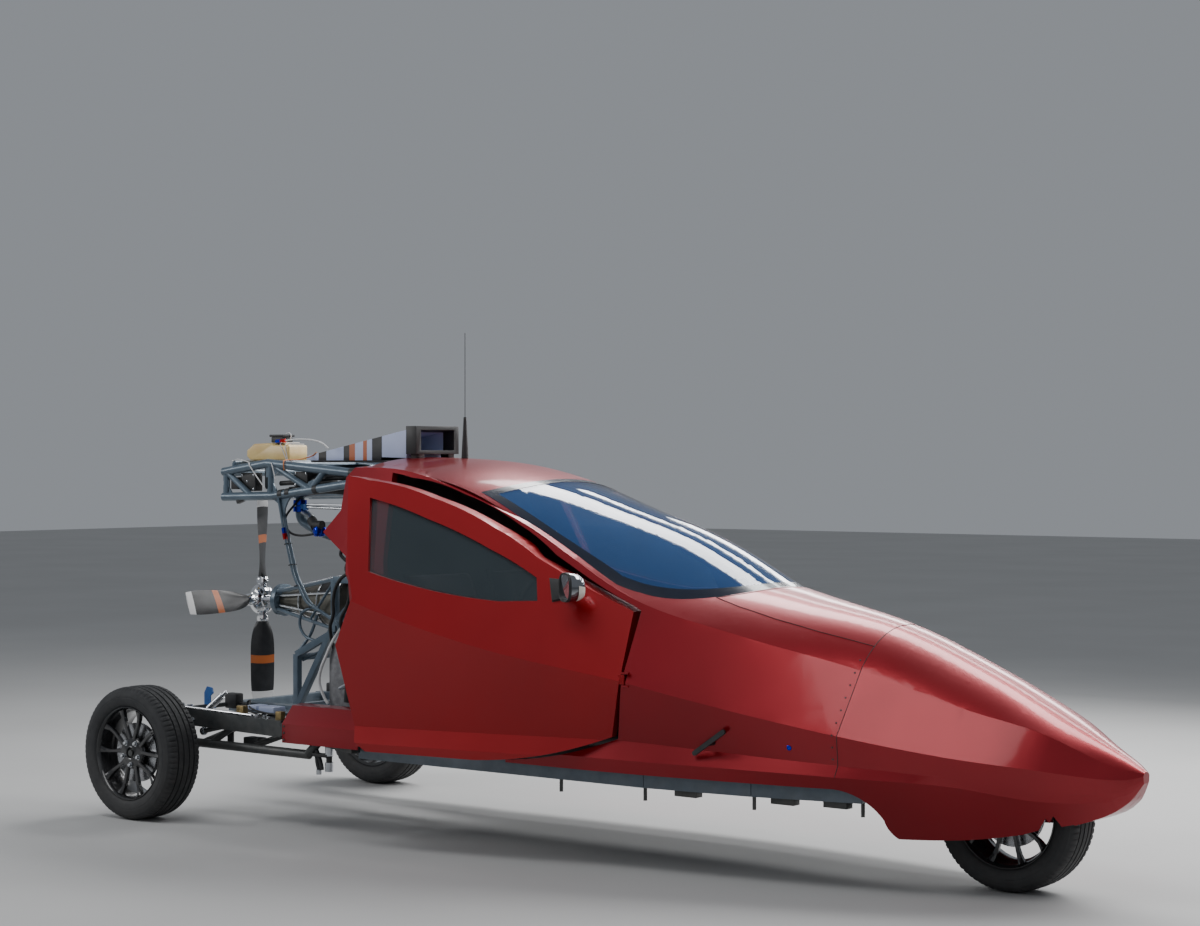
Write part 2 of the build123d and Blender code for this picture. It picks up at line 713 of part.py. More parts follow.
# Rear knuckles: hub carrier, stub axle and brake caliper, one on each side
knuckle_inner = 641.3
knuckle_outer = 706
with BuildPart() as rear_knuckles:
    for side in (1, -1):
        with BuildSketch(Plane.XZ.offset(-side * knuckle_inner)):
            with Locations((at(0), tyre_radius)):
                RectangleRounded(130, 170, 24)
        extrude(amount=-side * (knuckle_outer - knuckle_inner))
        with BuildSketch(Plane.XZ.offset(-side * knuckle_outer)):
            with Locations((at(0), tyre_radius)):
                Circle(axle_radius)
        extrude(amount=-side * (rear_track / 2 + 72 - knuckle_outer))
        with BuildSketch(Plane.XZ.offset(-side * knuckle_inner)):
            with Locations((at(100), tyre_radius + 70)):
                RectangleRounded(110, 70, 16)
        extrude(amount=-side * (rear_track / 2 - 40 - knuckle_inner))
finish(rear_knuckles, "rear_knuckles")

# Rear trailing arms: box section above, tube below, and a link across the middle
arm_side = 612
arm_front_ahead = 1200
arm_rear_z = 476
arm_middle_z = 457
arm_front_z = 407
arm_width = 58
with BuildPart() as trailing_arms:
    for side in (1, -1):
        y = side * arm_side
        box_bar((at(-20), y, arm_rear_z), (at(745), y, arm_middle_z), arm_width, 76)
        box_bar((at(745), y, arm_middle_z), (at(arm_front_ahead), y, arm_front_z), arm_width, 60)
        bar((at(30), y, 352), (at(905), y, 348), 42)
        bar((at(890), y, 346), (at(985), y, 430), 42)
        box_bar((at(30), y, 322), (at(30), y, 500), arm_width, 96)
        bar((at(240), y, 352), (at(420), y, 450), 30)
finish(trailing_arms, "trailing_arms")

# Red fairings over the front of the trailing arms: folded sheet, as (distance out, height) outside and inside
fairing_wall = 6
fairing_rear_ahead = 768
fairing_front_ahead = 1250
fairing_fold = [(525, 572), (588, 566), (655, 486), (655, 398)]
with BuildPart() as stub_fairings:
    for side in (1, -1):
        inside = [(out - fairing_wall, height - fairing_wall * 0.5) for out, height in fairing_fold[1:]]
        inside.append((fairing_fold[0][0], fairing_fold[0][1] - fairing_wall))
        inside[-2] = (inside[-2][0], fairing_fold[-1][1])
        with BuildSketch(Plane.YZ.offset(at(fairing_rear_ahead))):
            with BuildLine():
                Polyline(
                    *[(side * out, height) for out, height in fairing_fold],
                    (side * inside[2][0], inside[2][1]), (side * inside[1][0], inside[1][1]),
                    (side * inside[0][0], inside[0][1]), (side * inside[3][0], inside[3][1]),
                    close=True,
                )
            make_face()
        extrude(amount=fairing_front_ahead - fairing_rear_ahead)
        with BuildSketch(Plane.XZ.offset(-side * (arm_side + arm_width / 2 + seat_gap))):
            with Locations((at(800), 448), (at(1110), 415)):
                Circle(12)
        extrude(amount=-side * 12)
finish(stub_fairings, "stub_fairings")

# Small vanes low on the body sides, each on a boss
vane_ahead = 3180
vane_side = 628
vane_z = 568
with BuildPart() as side_vanes:
    for side in (1, -1):
        with BuildSketch(Plane.XZ.offset(-side * 585)):
            with Locations((at(vane_ahead), vane_z)):
                Circle(13)
        extrude(amount=-side * (vane_side - 585))
        with BuildSketch(Plane.XZ.offset(-side * vane_side)):
            with Locations(Location((at(vane_ahead), vane_z), 34)):
                SlotOverall(190, 20)
        extrude(amount=-side * 9)
    add(body_half(0), mode=Mode.SUBTRACT)
    add(mirror(body_half(0), about=Plane.XZ, mode=Mode.PRIVATE), mode=Mode.SUBTRACT)
finish(side_vanes, "side_vanes")

# Rear chassis: two rails from the bulkhead to the tail, with cross members
rail_side = 300
rail_z = 500
rail_tail_ahead = 60
boom_pin_ahead = 135
boom_pin_radius = 8
with BuildPart() as chassis_rails:
    for side in (1, -1):
        box_bar((at(rail_tail_ahead), side * rail_side, rail_z),
                (at(bulkhead_ahead), side * rail_side, rail_z), rail_size, rail_size)
        box_bar((at(1175), side * rail_side, 420), (at(1175), side * rail_side, rail_z), rail_size, 44)
    for ahead in (85, 620):
        box_bar((at(ahead), -rail_side, rail_z), (at(ahead), rail_side, rail_z), rail_size - 6, rail_size - 6)
    box_bar((at(1175), -rail_side, rail_z), (at(1175), rail_side, rail_z), rail_size - 6, rail_size - 6)
    for side in (1, -1):
        box_bar((at(1175), side * 320, 439.8), (at(1175), side * 582.7, 439.8), 44, 44)
    with BuildSketch(Plane.XY.offset(rail_z - rail_size)):
        with Locations((at(boom_pin_ahead), rail_side), (at(boom_pin_ahead), -rail_side)):
            Circle(boom_pin_radius)
    extrude(amount=2 * rail_size, mode=Mode.SUBTRACT)
finish(chassis_rails, "chassis_rails")

# Engine, one plain block between the rails
engine_floor_z = 400
engine_top_z = 830
with BuildPart() as engine_block:
    with BuildSketch(Plane.XY.offset(engine_floor_z)):
        with Locations((at(905), 0)):
            RectangleRounded(440, 2 * (rail_side - rail_size / 2 - 4), 20)
    extrude(amount=engine_top_z - engine_floor_z)
    with BuildSketch(Plane.XY.offset(rail_z + rail_size / 2)):
        with Locations((at(760), 0), (at(1040), 0)):
            Rectangle(60, 2 * rail_side + 40)
    extrude(amount=14)
finish(engine_block, "engine_block")

# Tower behind the engine that carries the propeller drive
tower_side = 190
tower_tail = 400
tower_top_z = 1130
housing_tail_radius = 42
housing_front_radius = 150
tower_rows = [
    (tower_tail, rail_z, tower_tail, 760),
    (tower_tail, rail_z, 655, 915),
    (tower_tail, 760, 655, 880),
    (655, 880, 655, tower_top_z),
    (655, 915, 900, tower_top_z),
    (655, tower_top_z, bulkhead_ahead, tower_top_z),
]
with BuildPart() as tower_frame:
    for side in (1, -1):
        for near_ahead, near_z, far_ahead, far_z in tower_rows:
            box_bar((at(near_ahead), side * tower_side, near_z), (at(far_ahead), side * tower_side, far_z),
                    post_size - 8, post_size - 8)
    box_bar((at(tower_tail), -rail_side, rail_z), (at(tower_tail), rail_side, rail_z), 38, 38)
    for ahead, z in ((tower_tail, 745), (655, 900), (655, tower_top_z)):
        box_bar((at(ahead), -tower_side, z), (at(ahead), tower_side, z), 30, 30)
    for side in (1, -1):
        bar((at(655), side * tower_side, 890), (at(115), side * 52, propeller_z - 42), thin_tube)
        bar((at(655), side * tower_side, tower_top_z), (at(115), side * 52, propeller_z + 42), thin_tube)
        bar((at(430), side * 133, 926), (at(655), side * tower_side, tower_top_z), 14)
    with BuildSketch(Plane.YZ.offset(at(95))):
        with Locations((0, propeller_z)):
            Circle(80)
            Circle(housing_tail_radius + seat_gap, mode=Mode.SUBTRACT)
    extrude(amount=30)
    add(chassis_rails.part, mode=Mode.SUBTRACT)
finish(tower_frame, "tower_frame")

# Drive housing: cone from the tower to the propeller bearing
shaft_radius = 19.95
bearing_top_z = propeller_z + shaft_radius + bearing_clearance
with BuildPart() as drive_housing:
    with BuildSketch(Plane.XZ):
        with BuildLine():
            Polyline(
                (at(60), bearing_top_z), (at(60), propeller_z + housing_tail_radius),
                (at(150), propeller_z + housing_tail_radius), (at(620), propeller_z + housing_front_radius),
                (at(636), propeller_z + housing_front_radius),
                (at(636), propeller_z), (at(560), propeller_z), (at(560), bearing_top_z), close=True,
            )
        make_face()
    revolve(axis=Axis((at(0), 0, propeller_z), (1, 0, 0)))
finish(drive_housing, "drive_housing")

# Propeller hub and shaft, with a clamp for each blade root
hub_length = 96
root_radius = 30
with BuildPart() as propeller_hub:
    with BuildSketch(Plane.YZ.offset(at(propeller_ahead) - hub_length / 2)):
        with Locations((0, propeller_z)):
            Circle(hub_radius)
    extrude(amount=hub_length)
    with BuildSketch(Plane.YZ.offset(at(propeller_ahead) + hub_length / 2)):
        with Locations((0, propeller_z)):
            Circle(shaft_radius)
    extrude(amount=400)
    for index in range(blade_count):
        turn = radians(360 / blade_count * index)
        outward = Vector(0, sin(turn), cos(turn))
        centre = Vector(at(propeller_ahead), 0, propeller_z)
        bar(centre + outward * 20, centre + outward * 112, 2 * root_radius)
finish(propeller_hub, "propeller_hub")

# Propeller blades: each row is radius, chord, thickness, pitch in degrees
blade_sections = [
    (112.3, 56, 44, 40), (180, 106, 26, 35), (320, 124, 16, 26), (470, 118, 10, 19), (500, 108, 8, 18),
]
with BuildPart() as blade_form:
    for radius, chord, thickness, pitch in blade_sections:
        with BuildSketch(Plane(origin=(0, 0, radius), x_dir=(-sin(radians(pitch)), cos(radians(pitch)), 0),
                               z_dir=(0, 0, 1))):
            with BuildLine():
                ThreePointArc((-chord / 2, 0), (0, thickness / 2), (chord / 2, 0))
                ThreePointArc((chord / 2, 0), (0, -thickness / 2), (-chord / 2, 0))
            make_face()
    loft()
with BuildPart() as propeller_blades:
    for index in range(blade_count):
        add(blade_form.part.rotate(Axis.X, 360 / blade_count * index)
            .moved(Location((at(propeller_ahead), 0, propeller_z))))
finish(propeller_blades, "propeller_blades")

# Upper truss from the bulkhead to the tail: chords, posts, diagonals and cross tubes
truss_side = 300
truss_low = [(0, 1522), (350, 1530), (850, 1590), (bulkhead_ahead - 0.3, 1596)]
truss_high = [(0, 1645), (310, 1688), (850, 1645), (bulkhead_ahead - 0.3, 1627)]
truss_web = [((20, 1650), (20, 1522)), ((330, 1682), (330, 1530)), ((30, 1640), (185, 1535)),
             ((350, 1675), (600, 1562)), ((600, 1562), (700, 1658))]
truss_cross = [(20, 1640), (20, 1525), (330, 1680), (428, 1539), (600, 1664), (850, 1643)]
tank_saddle_z = 1690
with BuildPart() as upper_truss:
    for side in (1, -1):
        y = side * truss_side
        for chord in (truss_low, truss_high):
            for near, far in zip(chord, chord[1:]):
                bar((at(near[0]), y, near[1]), (at(far[0]), y, far[1]), truss_tube)
        for near, far in truss_web:
            bar((at(near[0]), y, near[1]), (at(far[0]), y, far[1]), 30)
    for ahead, z in truss_cross:
        bar((at(ahead), -truss_side, z), (at(ahead), truss_side, z), 34)
    bar((at(75), -truss_side, tank_saddle_z), (at(75), truss_side, tank_saddle_z), 22)
    for side in (1, -1):
        bar((at(75), side * truss_side, 1650), (at(75), side * truss_side, tank_saddle_z), 22)
    add(bulkhead.part, mode=Mode.SUBTRACT)
finish(upper_truss, "upper_truss")

# Yellow tank on the saddle bar and the truss
tank_floor_z = 1701.3
tank_near_side = 175
tank_width = 132
with BuildPart() as header_tank:
    with BuildSketch(Plane.XZ.offset(tank_near_side - tank_width)):
        with BuildLine():
            Polyline(
                (at(52), tank_floor_z), (at(27), 1722), (at(29), 1752), (at(78), 1783), (at(200), 1787),
                (at(216), 1778), (at(318), 1776), (at(324), 1768), (at(324), tank_floor_z),
                (at(52), tank_floor_z),
            )
        make_face()
    extrude(amount=tank_width)
    tank_ends = header_tank.faces().sort_by(Axis.Y)
    chamfer(tank_ends[0].edges() + tank_ends[-1].edges(), 6)
finish(header_tank, "header_tank")

# Cooling-air scoop strapped over the roof's rear edge
scoop_half_width = 150
scoop_tail = 400
with BuildPart() as air_scoop:
    with BuildSketch(Plane.XZ):
        with Locations((at(1112), 1798)):
            Rectangle(66, 132)
    extrude(amount=scoop_half_width, both=True)
    with BuildSketch(Plane.XZ):
        with BuildLine():
            Polyline(
                (at(1079), 1738), (at(1079), 1850), (at(scoop_tail), 1722), (at(scoop_tail), 1702),
                (at(1062), 1702), (at(1062), 1738), close=True,
            )
        make_face()
    extrude(amount=scoop_half_width - 22, both=True)
    with BuildSketch(Plane.XY.offset(1690)):
        with Locations((at(1112), 105), (at(1112), -105)):
            Rectangle(50, 40)
    extrude(amount=50)
    with BuildSketch(Plane.XZ):
        with BuildLine():
            Polyline((at(1150), 1750), (at(1150), 1846), (at(1079), 1836), (at(640), 1756), (at(640), 1740),
                     (at(1079), 1750), close=True)
        make_face()
    extrude(amount=scoop_half_width - 34, both=True, mode=Mode.SUBTRACT)
    add(dome_half(0), mode=Mode.SUBTRACT)
    add(mirror(dome_half(0), about=Plane.XZ, mode=Mode.PRIVATE), mode=Mode.SUBTRACT)
finish(air_scoop, "air_scoop")

# Roof antenna: tapered base and whip
antenna_ahead = 1317
antenna_foot_z = 1710.5
with BuildPart() as antenna:
    with BuildSketch(Plane.XY.offset(antenna_foot_z)):
        with Locations((at(antenna_ahead), 0)):
            Circle(17)
    with BuildSketch(Plane.XY.offset(1905)):
        with Locations((at(antenna_ahead), 0)):
            Circle(7)
    loft()
    bar((at(antenna_ahead), 0, 1904), (at(antenna_ahead), 0, 2300), 3.4)
finish(antenna, "antenna")

# Pipes that run from the truss down to the tower, and the blue couplers in the coolant line
coupler_ahead = 428
coolant_side = 200
coolant_diameter = 44
with BuildPart() as service_pipes:
    for head_side, foot_side, diameter in ((-290, -252, 17), (-311, -230, 12)):
        pipe([(at(390), head_side, 1530), (at(425), head_side, 1380), (at(490), head_side + 4, 1150),
              (at(570), head_side + 14, 1015), (at(735), foot_side, 925), (at(760), foot_side, engine_top_z)],
             [300, 250, 120, 40], diameter)
    pipe([(at(coupler_ahead), -coolant_side, 1530), (at(coupler_ahead), -coolant_side, 1410),
          (at(550), -coolant_side, 1360), (at(700), -110, 1300), (at(bulkhead_ahead), -110, 1260)],
         [60, 120, 120], coolant_diameter)
    for piece in (upper_truss, engine_block, bulkhead):
        add(piece.part, mode=Mode.SUBTRACT)
finish(service_pipes, "service_pipes")

with BuildPart() as pipe_couplers:
    for top_z, bottom_z in ((1510, 1484), (1479, 1453)):
        start, end = (at(coupler_ahead), -coolant_side, top_z), (at(coupler_ahead), -coolant_side, bottom_z)
        bar(start, end, 66)
        bar(start, end, coolant_diameter + 2 * seat_gap, mode=Mode.SUBTRACT)
finish(pipe_couplers, "pipe_couplers")
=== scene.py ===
import json
import math

import bmesh
import bpy
from mathutils import Matrix, Vector


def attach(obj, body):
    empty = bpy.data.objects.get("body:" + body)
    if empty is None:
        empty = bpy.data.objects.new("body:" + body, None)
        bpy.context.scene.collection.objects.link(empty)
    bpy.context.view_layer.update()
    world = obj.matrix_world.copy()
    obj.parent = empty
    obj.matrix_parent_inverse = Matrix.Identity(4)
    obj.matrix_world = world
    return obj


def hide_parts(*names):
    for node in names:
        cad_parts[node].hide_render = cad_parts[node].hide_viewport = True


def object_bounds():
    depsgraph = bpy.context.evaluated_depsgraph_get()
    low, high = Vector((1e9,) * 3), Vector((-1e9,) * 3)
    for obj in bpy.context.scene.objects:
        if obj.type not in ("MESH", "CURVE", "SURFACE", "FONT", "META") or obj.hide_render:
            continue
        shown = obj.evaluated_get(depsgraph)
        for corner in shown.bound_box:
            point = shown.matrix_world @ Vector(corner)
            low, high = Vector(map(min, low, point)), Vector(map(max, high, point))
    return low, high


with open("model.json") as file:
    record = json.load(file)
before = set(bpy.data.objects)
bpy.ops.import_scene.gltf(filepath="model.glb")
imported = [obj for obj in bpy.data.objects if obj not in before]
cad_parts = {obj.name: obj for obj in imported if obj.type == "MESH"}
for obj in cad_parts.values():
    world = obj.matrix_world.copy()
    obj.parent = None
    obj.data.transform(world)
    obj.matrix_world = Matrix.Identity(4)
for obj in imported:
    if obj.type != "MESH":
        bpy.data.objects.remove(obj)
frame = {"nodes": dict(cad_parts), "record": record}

cad_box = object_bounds()

# Sizes are in millimetres, as in the part, and places are (ahead of the rear axle, to the left, up).
# at() and spot_at() turn them into the frame's metres, and so do the mesh helpers.
mm = 0.001
rear_axle_x = -2234
wheelbase = 4220
tyre_radius = 316
rear_wheel_side = 830
hinge_ahead, hinge_side = 2800, 705
seam_ahead = 3722
seat_side = 285
truss_side = 300
propeller_ahead, propeller_z = -40, 1005
door_ajar = math.radians(11)
full_turn = 2 * math.pi
root = "airframe"
hands = (("left", 1), ("right", -1))


def at(ahead):
    """Frame x of a station ahead of the rear axle."""
    return (rear_axle_x + ahead) * mm


def spot_at(ahead, side, z):
    """Frame place of (ahead, side, z)."""
    return Vector((at(ahead), side * mm, z * mm))


# Camera, floor and lights
def show(name, data):
    """New object in the scene for a camera, light or mesh."""
    made = bpy.data.objects.new(name, data)
    bpy.context.scene.collection.objects.link(made)
    return made


def build_camera():
    camera = show("camera", bpy.data.cameras.new("camera"))
    camera.data.sensor_fit = "HORIZONTAL"
    camera.data.sensor_width = 36
    camera.data.lens = 73.98
    camera.location = (6.746, -8.69, 1.713)
    camera.rotation_euler = (math.pi / 2 - 0.002, 0, 0.668)
    bpy.context.scene.camera = camera


def area_light(name, place, target, size, power):
    light = show(name, bpy.data.lights.new(name, "AREA"))
    light.data.shape = "RECTANGLE"
    light.data.size, light.data.size_y = size
    light.data.energy = power
    light.location = place
    light.rotation_euler = (Vector(target) - Vector(place)).to_track_quat("-Z", "Y").to_euler()


def build_stage():
    reach = 40
    mesh = bpy.data.meshes.new("floor")
    mesh.from_pydata([(-reach, -reach, 0), (reach, -reach, 0), (reach, reach, 0), (-reach, reach, 0)], [],
                     [(0, 1, 2, 3)])
    floor = show("floor", mesh)
    mesh.materials.append(surface("floor_pale", (0.50, 0.50, 0.495), (0.47, 0.47, 0.465), rough=0.8, mix_scale=0.6))
    area_light("key_strip", (1.0, 3.5, 5.4), (0.8, 0, 0.9), (9, 1.2), 450)
    area_light("thin_strip", (1.0, 4.9, 4.6), (0.8, 0, 0.9), (9, 0.3), 110)
    area_light("edge_strip", (1.0, 6.1, 3.3), (0.8, 0, 0.9), (9, 0.7), 240)
    area_light("top_soft", (0.3, -3.0, 6.2), (0.2, 0, 0.6), (7, 1.6), 120)
    area_light("front_soft", (6, -8, 4.5), (0.5, 0, 0.8), (8, 5), 36)
    area_light("rear_soft", (-7, -5, 4), (-1.5, 0, 0.9), (3, 2.5), 150)
    world = bpy.data.worlds.new("studio")
    world.use_nodes = True
    background = world.node_tree.nodes["Background"]
    background.inputs["Color"].default_value = (0.82, 0.87, 0.94, 1)
    background.inputs["Strength"].default_value = 0.32
    bpy.context.scene.world = world


# Materials
def new_material(name, values):
    """Node material with the given numbers on its shader: the material, its node tree and the shader."""
    material = bpy.data.materials.new(name)
    material.use_nodes = True
    shader = material.node_tree.nodes["Principled BSDF"]
    for socket, value in values.items():
        shader.inputs[socket].default_value = value
    return material, material.node_tree, shader


def add_node(tree, kind, feeds=None, values=None, **settings):
    """Shader node: what feeds its sockets, the numbers on its other sockets, and its own settings."""
    made = tree.nodes.new(f"ShaderNode{kind}")
    for name, value in settings.items():
        setattr(made, name, value)
    for socket, value in (values or {}).items():
        made.inputs[socket].default_value = value
    for socket, source in (feeds or {}).items():
        tree.links.new(source, made.inputs[socket])
    return made


def two_tones(tree, share, *stops):
    """Colour ramp between two (position, tone) stops."""
    ramp = add_node(tree, "ValToRGB", {"Fac": share})
    for element, (position, tone) in zip(ramp.color_ramp.elements, stops):
        element.position = position
        element.color = (*tone, 1)
    return ramp.outputs["Color"]


def tinted(tree, color, tint, share):
    """Colour with a tint laid over it by a share."""
    mix = add_node(tree, "Mix", {"Factor": share, "A": color}, {"B": (*tint, 1)}, data_type="RGBA")
    return mix.outputs["Result"]


def surface(name, base, second, rough=0.5, spread=0.08, metal=0.0, mix_scale=6.0, bump=0.0, bump_scale=300.0,
            coat=0.0, coat_rough=0.03, dust=0.0, sheen=0.0):
    """Procedural material: two tones mixed by noise, varied roughness, fine bump, and dust low down."""
    material, tree, shader = new_material(name, {"Metallic": metal, "Coat Weight": coat,
                                                 "Coat Roughness": coat_rough, "Sheen Weight": sheen})
    place = add_node(tree, "TexCoord").outputs["Object"]

    def noise(scale, detail=4.0):
        return add_node(tree, "TexNoise", {"Vector": place}, {"Scale": scale, "Detail": detail}).outputs["Fac"]

    color = two_tones(tree, noise(mix_scale), (0.35, base), (0.65, second))
    if dust:
        height = add_node(tree, "SeparateXYZ", {"Vector": place}).outputs["Z"]
        low = add_node(tree, "MapRange", {"Value": height}, {"From Min": 0.75, "From Max": 0.15, "To Max": dust})
        patch = add_node(tree, "Math", {0: low.outputs["Result"], 1: noise(14.0, 8.0)}, operation="MULTIPLY")
        color = tinted(tree, color, (0.30, 0.26, 0.22), patch.outputs["Value"])
    tree.links.new(color, shader.inputs["Base Color"])
    wear = add_node(tree, "MapRange", {"Value": noise(mix_scale * 3.1, 6.0)},
                    {"To Min": max(rough - spread, 0.02), "To Max": min(rough + spread, 1.0)})
    tree.links.new(wear.outputs["Result"], shader.inputs["Roughness"])
    if bump:
        relief = add_node(tree, "Bump", {"Height": noise(bump_scale, 3.0)}, {"Strength": bump, "Distance": 0.001})
        tree.links.new(relief.outputs["Normal"], shader.inputs["Normal"])
    return material


def striped(material, bands, axis=None, centre=(0, 0, 0)):
    """Paint bands (from, to, colour) over a material, along an axis or else by distance from the X line."""
    tree = material.node_tree
    shader = tree.nodes["Principled BSDF"]
    color = shader.inputs["Base Color"].links[0].from_socket
    place = add_node(tree, "TexCoord").outputs["Object"]
    shift = add_node(tree, "VectorMath", {0: place}, {1: centre}, operation="SUBTRACT").outputs["Vector"]
    if axis:
        value = add_node(tree, "VectorMath", {0: shift}, {1: axis}, operation="DOT_PRODUCT").outputs["Value"]
    else:
        flat = add_node(tree, "VectorMath", {0: shift}, {1: (0, 1, 1)}, operation="MULTIPLY").outputs["Vector"]
        value = add_node(tree, "VectorMath", {0: flat}, operation="LENGTH").outputs["Value"]
    for low, high, tint in bands:
        inside = add_node(tree, "Math", {0: value}, {1: (low + high) / 2, 2: (high - low) / 2}, operation="COMPARE")
        color = tinted(tree, color, tint, inside.outputs["Value"])
    tree.links.new(color, shader.inputs["Base Color"])
    return material


def glass(name, tint):
    """Thin tinted pane: partly clear, with a glossy skin."""
    material, tree, shader = new_material(name, {"Coat Weight": 1.0, "Coat Roughness": 0.01, "IOR": 1.45})
    place = add_node(tree, "TexCoord").outputs["Object"]
    grain = add_node(tree, "TexNoise", {"Vector": place}, {"Scale": 5}).outputs["Fac"]
    for socket, low, high in (("Roughness", 0.02, 0.03), ("Alpha", 0.50, 0.62)):
        haze = add_node(tree, "MapRange", {"Value": grain}, {"To Min": low, "To Max": high})
        tree.links.new(haze.outputs["Result"], shader.inputs[socket])
    tone = two_tones(tree, grain, (0, tint), (1, [share * 1.25 for share in tint]))
    tree.links.new(tone, shader.inputs["Base Color"])
    return material


paint = surface("body_paint", (0.30, 0.0, 0.008), (0.27, 0.0, 0.007), rough=0.32, spread=0.04, metal=0.55,
                mix_scale=2.0, coat=0.45, coat_rough=0.10, dust=0.01)
door_paint = surface("door_paint", (0.36, 0.0, 0.004), (0.33, 0.0, 0.004), rough=0.34, spread=0.04,
                     metal=0.5, mix_scale=2.0, coat=0.4, coat_rough=0.10, dust=0.01)
frame_paint = surface("frame_paint", (0.105, 0.150, 0.195), (0.075, 0.115, 0.155), rough=0.38, spread=0.12,
                      metal=0.3, mix_scale=18, bump=0.15, bump_scale=500, coat=0.3, coat_rough=0.2, dust=0.4)
dark_steel = surface("dark_steel", (0.030, 0.040, 0.046), (0.055, 0.065, 0.070), rough=0.42, spread=0.15,
                     metal=0.5, mix_scale=25, bump=0.2, bump_scale=400, dust=0.5)
bright_steel = surface("bright_steel", (0.62, 0.64, 0.66), (0.50, 0.52, 0.55), rough=0.22, spread=0.1,
                       metal=1.0, mix_scale=40, bump=0.1, bump_scale=700)
chrome = surface("chrome_shell", (0.80, 0.81, 0.83), (0.72, 0.73, 0.76), rough=0.07, spread=0.04, metal=1.0,
                 mix_scale=12)
# Chrome with a darker colour: painted reflection, standing in for the dark surroundings that the real chrome shell
# reflects
chrome_painted_reflection = surface("chrome_painted_reflection", (0.30, 0.31, 0.33), (0.24, 0.25, 0.27), rough=0.06, spread=0.03,
                      metal=1.0, mix_scale=12)
aluminium = surface("bare_aluminium", (0.50, 0.52, 0.55), (0.62, 0.64, 0.67), rough=0.32, spread=0.12,
                    metal=1.0, mix_scale=22, bump=0.15, bump_scale=600)
disc_steel = surface("disc_steel", (0.42, 0.43, 0.45), (0.30, 0.30, 0.31), rough=0.28, spread=0.12, metal=1.0,
                     mix_scale=30, bump=0.2, bump_scale=900)
rim_black = surface("rim_black", (0.008, 0.009, 0.011), (0.014, 0.015, 0.018), rough=0.22, spread=0.08,
                    mix_scale=14, coat=0.6, dust=0.06)
tyre_rubber = surface("tyre_rubber", (0.014, 0.016, 0.019), (0.024, 0.026, 0.029), rough=0.68, spread=0.14,
                      mix_scale=16, bump=0.35, bump_scale=700, dust=0.10)
black_plastic = surface("black_plastic", (0.016, 0.016, 0.017), (0.026, 0.026, 0.027), rough=0.48, spread=0.12,
                        mix_scale=30, bump=0.3, bump_scale=1200)
seal_rubber = surface("seal_rubber", (0.010, 0.010, 0.011), (0.018, 0.018, 0.019), rough=0.60, spread=0.1,
                      mix_scale=30, bump=0.2, bump_scale=800)
trim = surface("interior_trim", (0.045, 0.045, 0.048), (0.062, 0.062, 0.066), rough=0.62, spread=0.1,
               mix_scale=20, bump=0.4, bump_scale=900)
seat_cloth = surface("seat_cloth", (0.050, 0.052, 0.060), (0.075, 0.078, 0.088), rough=0.85, mix_scale=160,
                     bump=0.8, bump_scale=1500, sheen=0.5)
tank_plastic = surface("tank_plastic", (0.80, 0.62, 0.26), (0.66, 0.44, 0.16), rough=0.38, spread=0.1,
                       mix_scale=7, bump=0.2, bump_scale=250, coat=0.3, coat_rough=0.25)
cast_engine = surface("cast_engine", (0.16, 0.16, 0.17), (0.26, 0.26, 0.27), rough=0.55, spread=0.15, metal=0.7,
                      mix_scale=30, bump=0.7, bump_scale=260)
cone_olive = surface("cone_olive", (0.10, 0.10, 0.085), (0.17, 0.165, 0.14), rough=0.40, spread=0.12, metal=0.6,
                     mix_scale=16, bump=0.2)
blue_anodised = surface("blue_anodised", (0.010, 0.030, 0.62), (0.008, 0.022, 0.48), rough=0.22, spread=0.06,
                        metal=0.9, mix_scale=30)
blue_paint = surface("blue_bracket", (0.02, 0.13, 0.42), (0.02, 0.10, 0.34), rough=0.4, mix_scale=30, bump=0.2)
red_anodised = surface("red_anodised", (0.60, 0.012, 0.012), (0.48, 0.010, 0.010), rough=0.24, metal=0.9,
                       mix_scale=30)
brass = surface("brass_pin", (0.40, 0.30, 0.14), (0.28, 0.21, 0.10), rough=0.42, metal=0.9, mix_scale=40)
white_tape = surface("white_tape", (0.72, 0.72, 0.72), (0.62, 0.62, 0.63), rough=0.6, mix_scale=60, bump=0.3)
orange_tape = surface("orange_tape", (0.62, 0.20, 0.05), (0.50, 0.16, 0.05), rough=0.6, mix_scale=60, bump=0.3)
lavender = surface("lavender_sheet", (0.50, 0.56, 0.74), (0.42, 0.48, 0.68), rough=0.42, mix_scale=9, bump=0.1,
                   bump_scale=120)
band_black, band_orange = (0.012, 0.012, 0.013), (0.45, 0.12, 0.04)
scoop_sheet = striped(
    surface("scoop_sheet", (0.50, 0.56, 0.78), (0.44, 0.50, 0.72), rough=0.45, mix_scale=8, bump=0.15,
            bump_scale=150),
    [(at(low), at(high), tint) for low, high, tint in (
        (839, 904, band_black), (780, 806, band_orange), (689, 727, band_orange),
        (651, 689, band_black), (482, 535, band_black), (1075, 1200, band_black))], axis=(1, 0, 0))
blade_black = striped(
    surface("blade_black", (0.016, 0.017, 0.019), (0.026, 0.027, 0.030), rough=0.42, spread=0.05, mix_scale=30,
            coat=0.15, coat_rough=0.25, bump=0.03, bump_scale=900),
    [(0.285, 0.325, (0.50, 0.13, 0.03)), (0.465, 0.52, (0.75, 0.75, 0.75))], centre=(0, 0, propeller_z * mm))
frit_black = surface("frit_black", (0.004, 0.008, 0.022), (0.005, 0.010, 0.026), rough=0.22, mix_scale=40, coat=0.3)
lamp_clear = surface("lamp_clear", (0.85, 0.82, 0.75), (0.75, 0.70, 0.6), rough=0.08, mix_scale=60, coat=1.0)
mirror_glass = surface("mirror_glass", (0.85, 0.87, 0.9), (0.83, 0.85, 0.88), rough=0.02, spread=0.01, metal=1.0)
door_glass = glass("door_glass", (0.035, 0.052, 0.062))
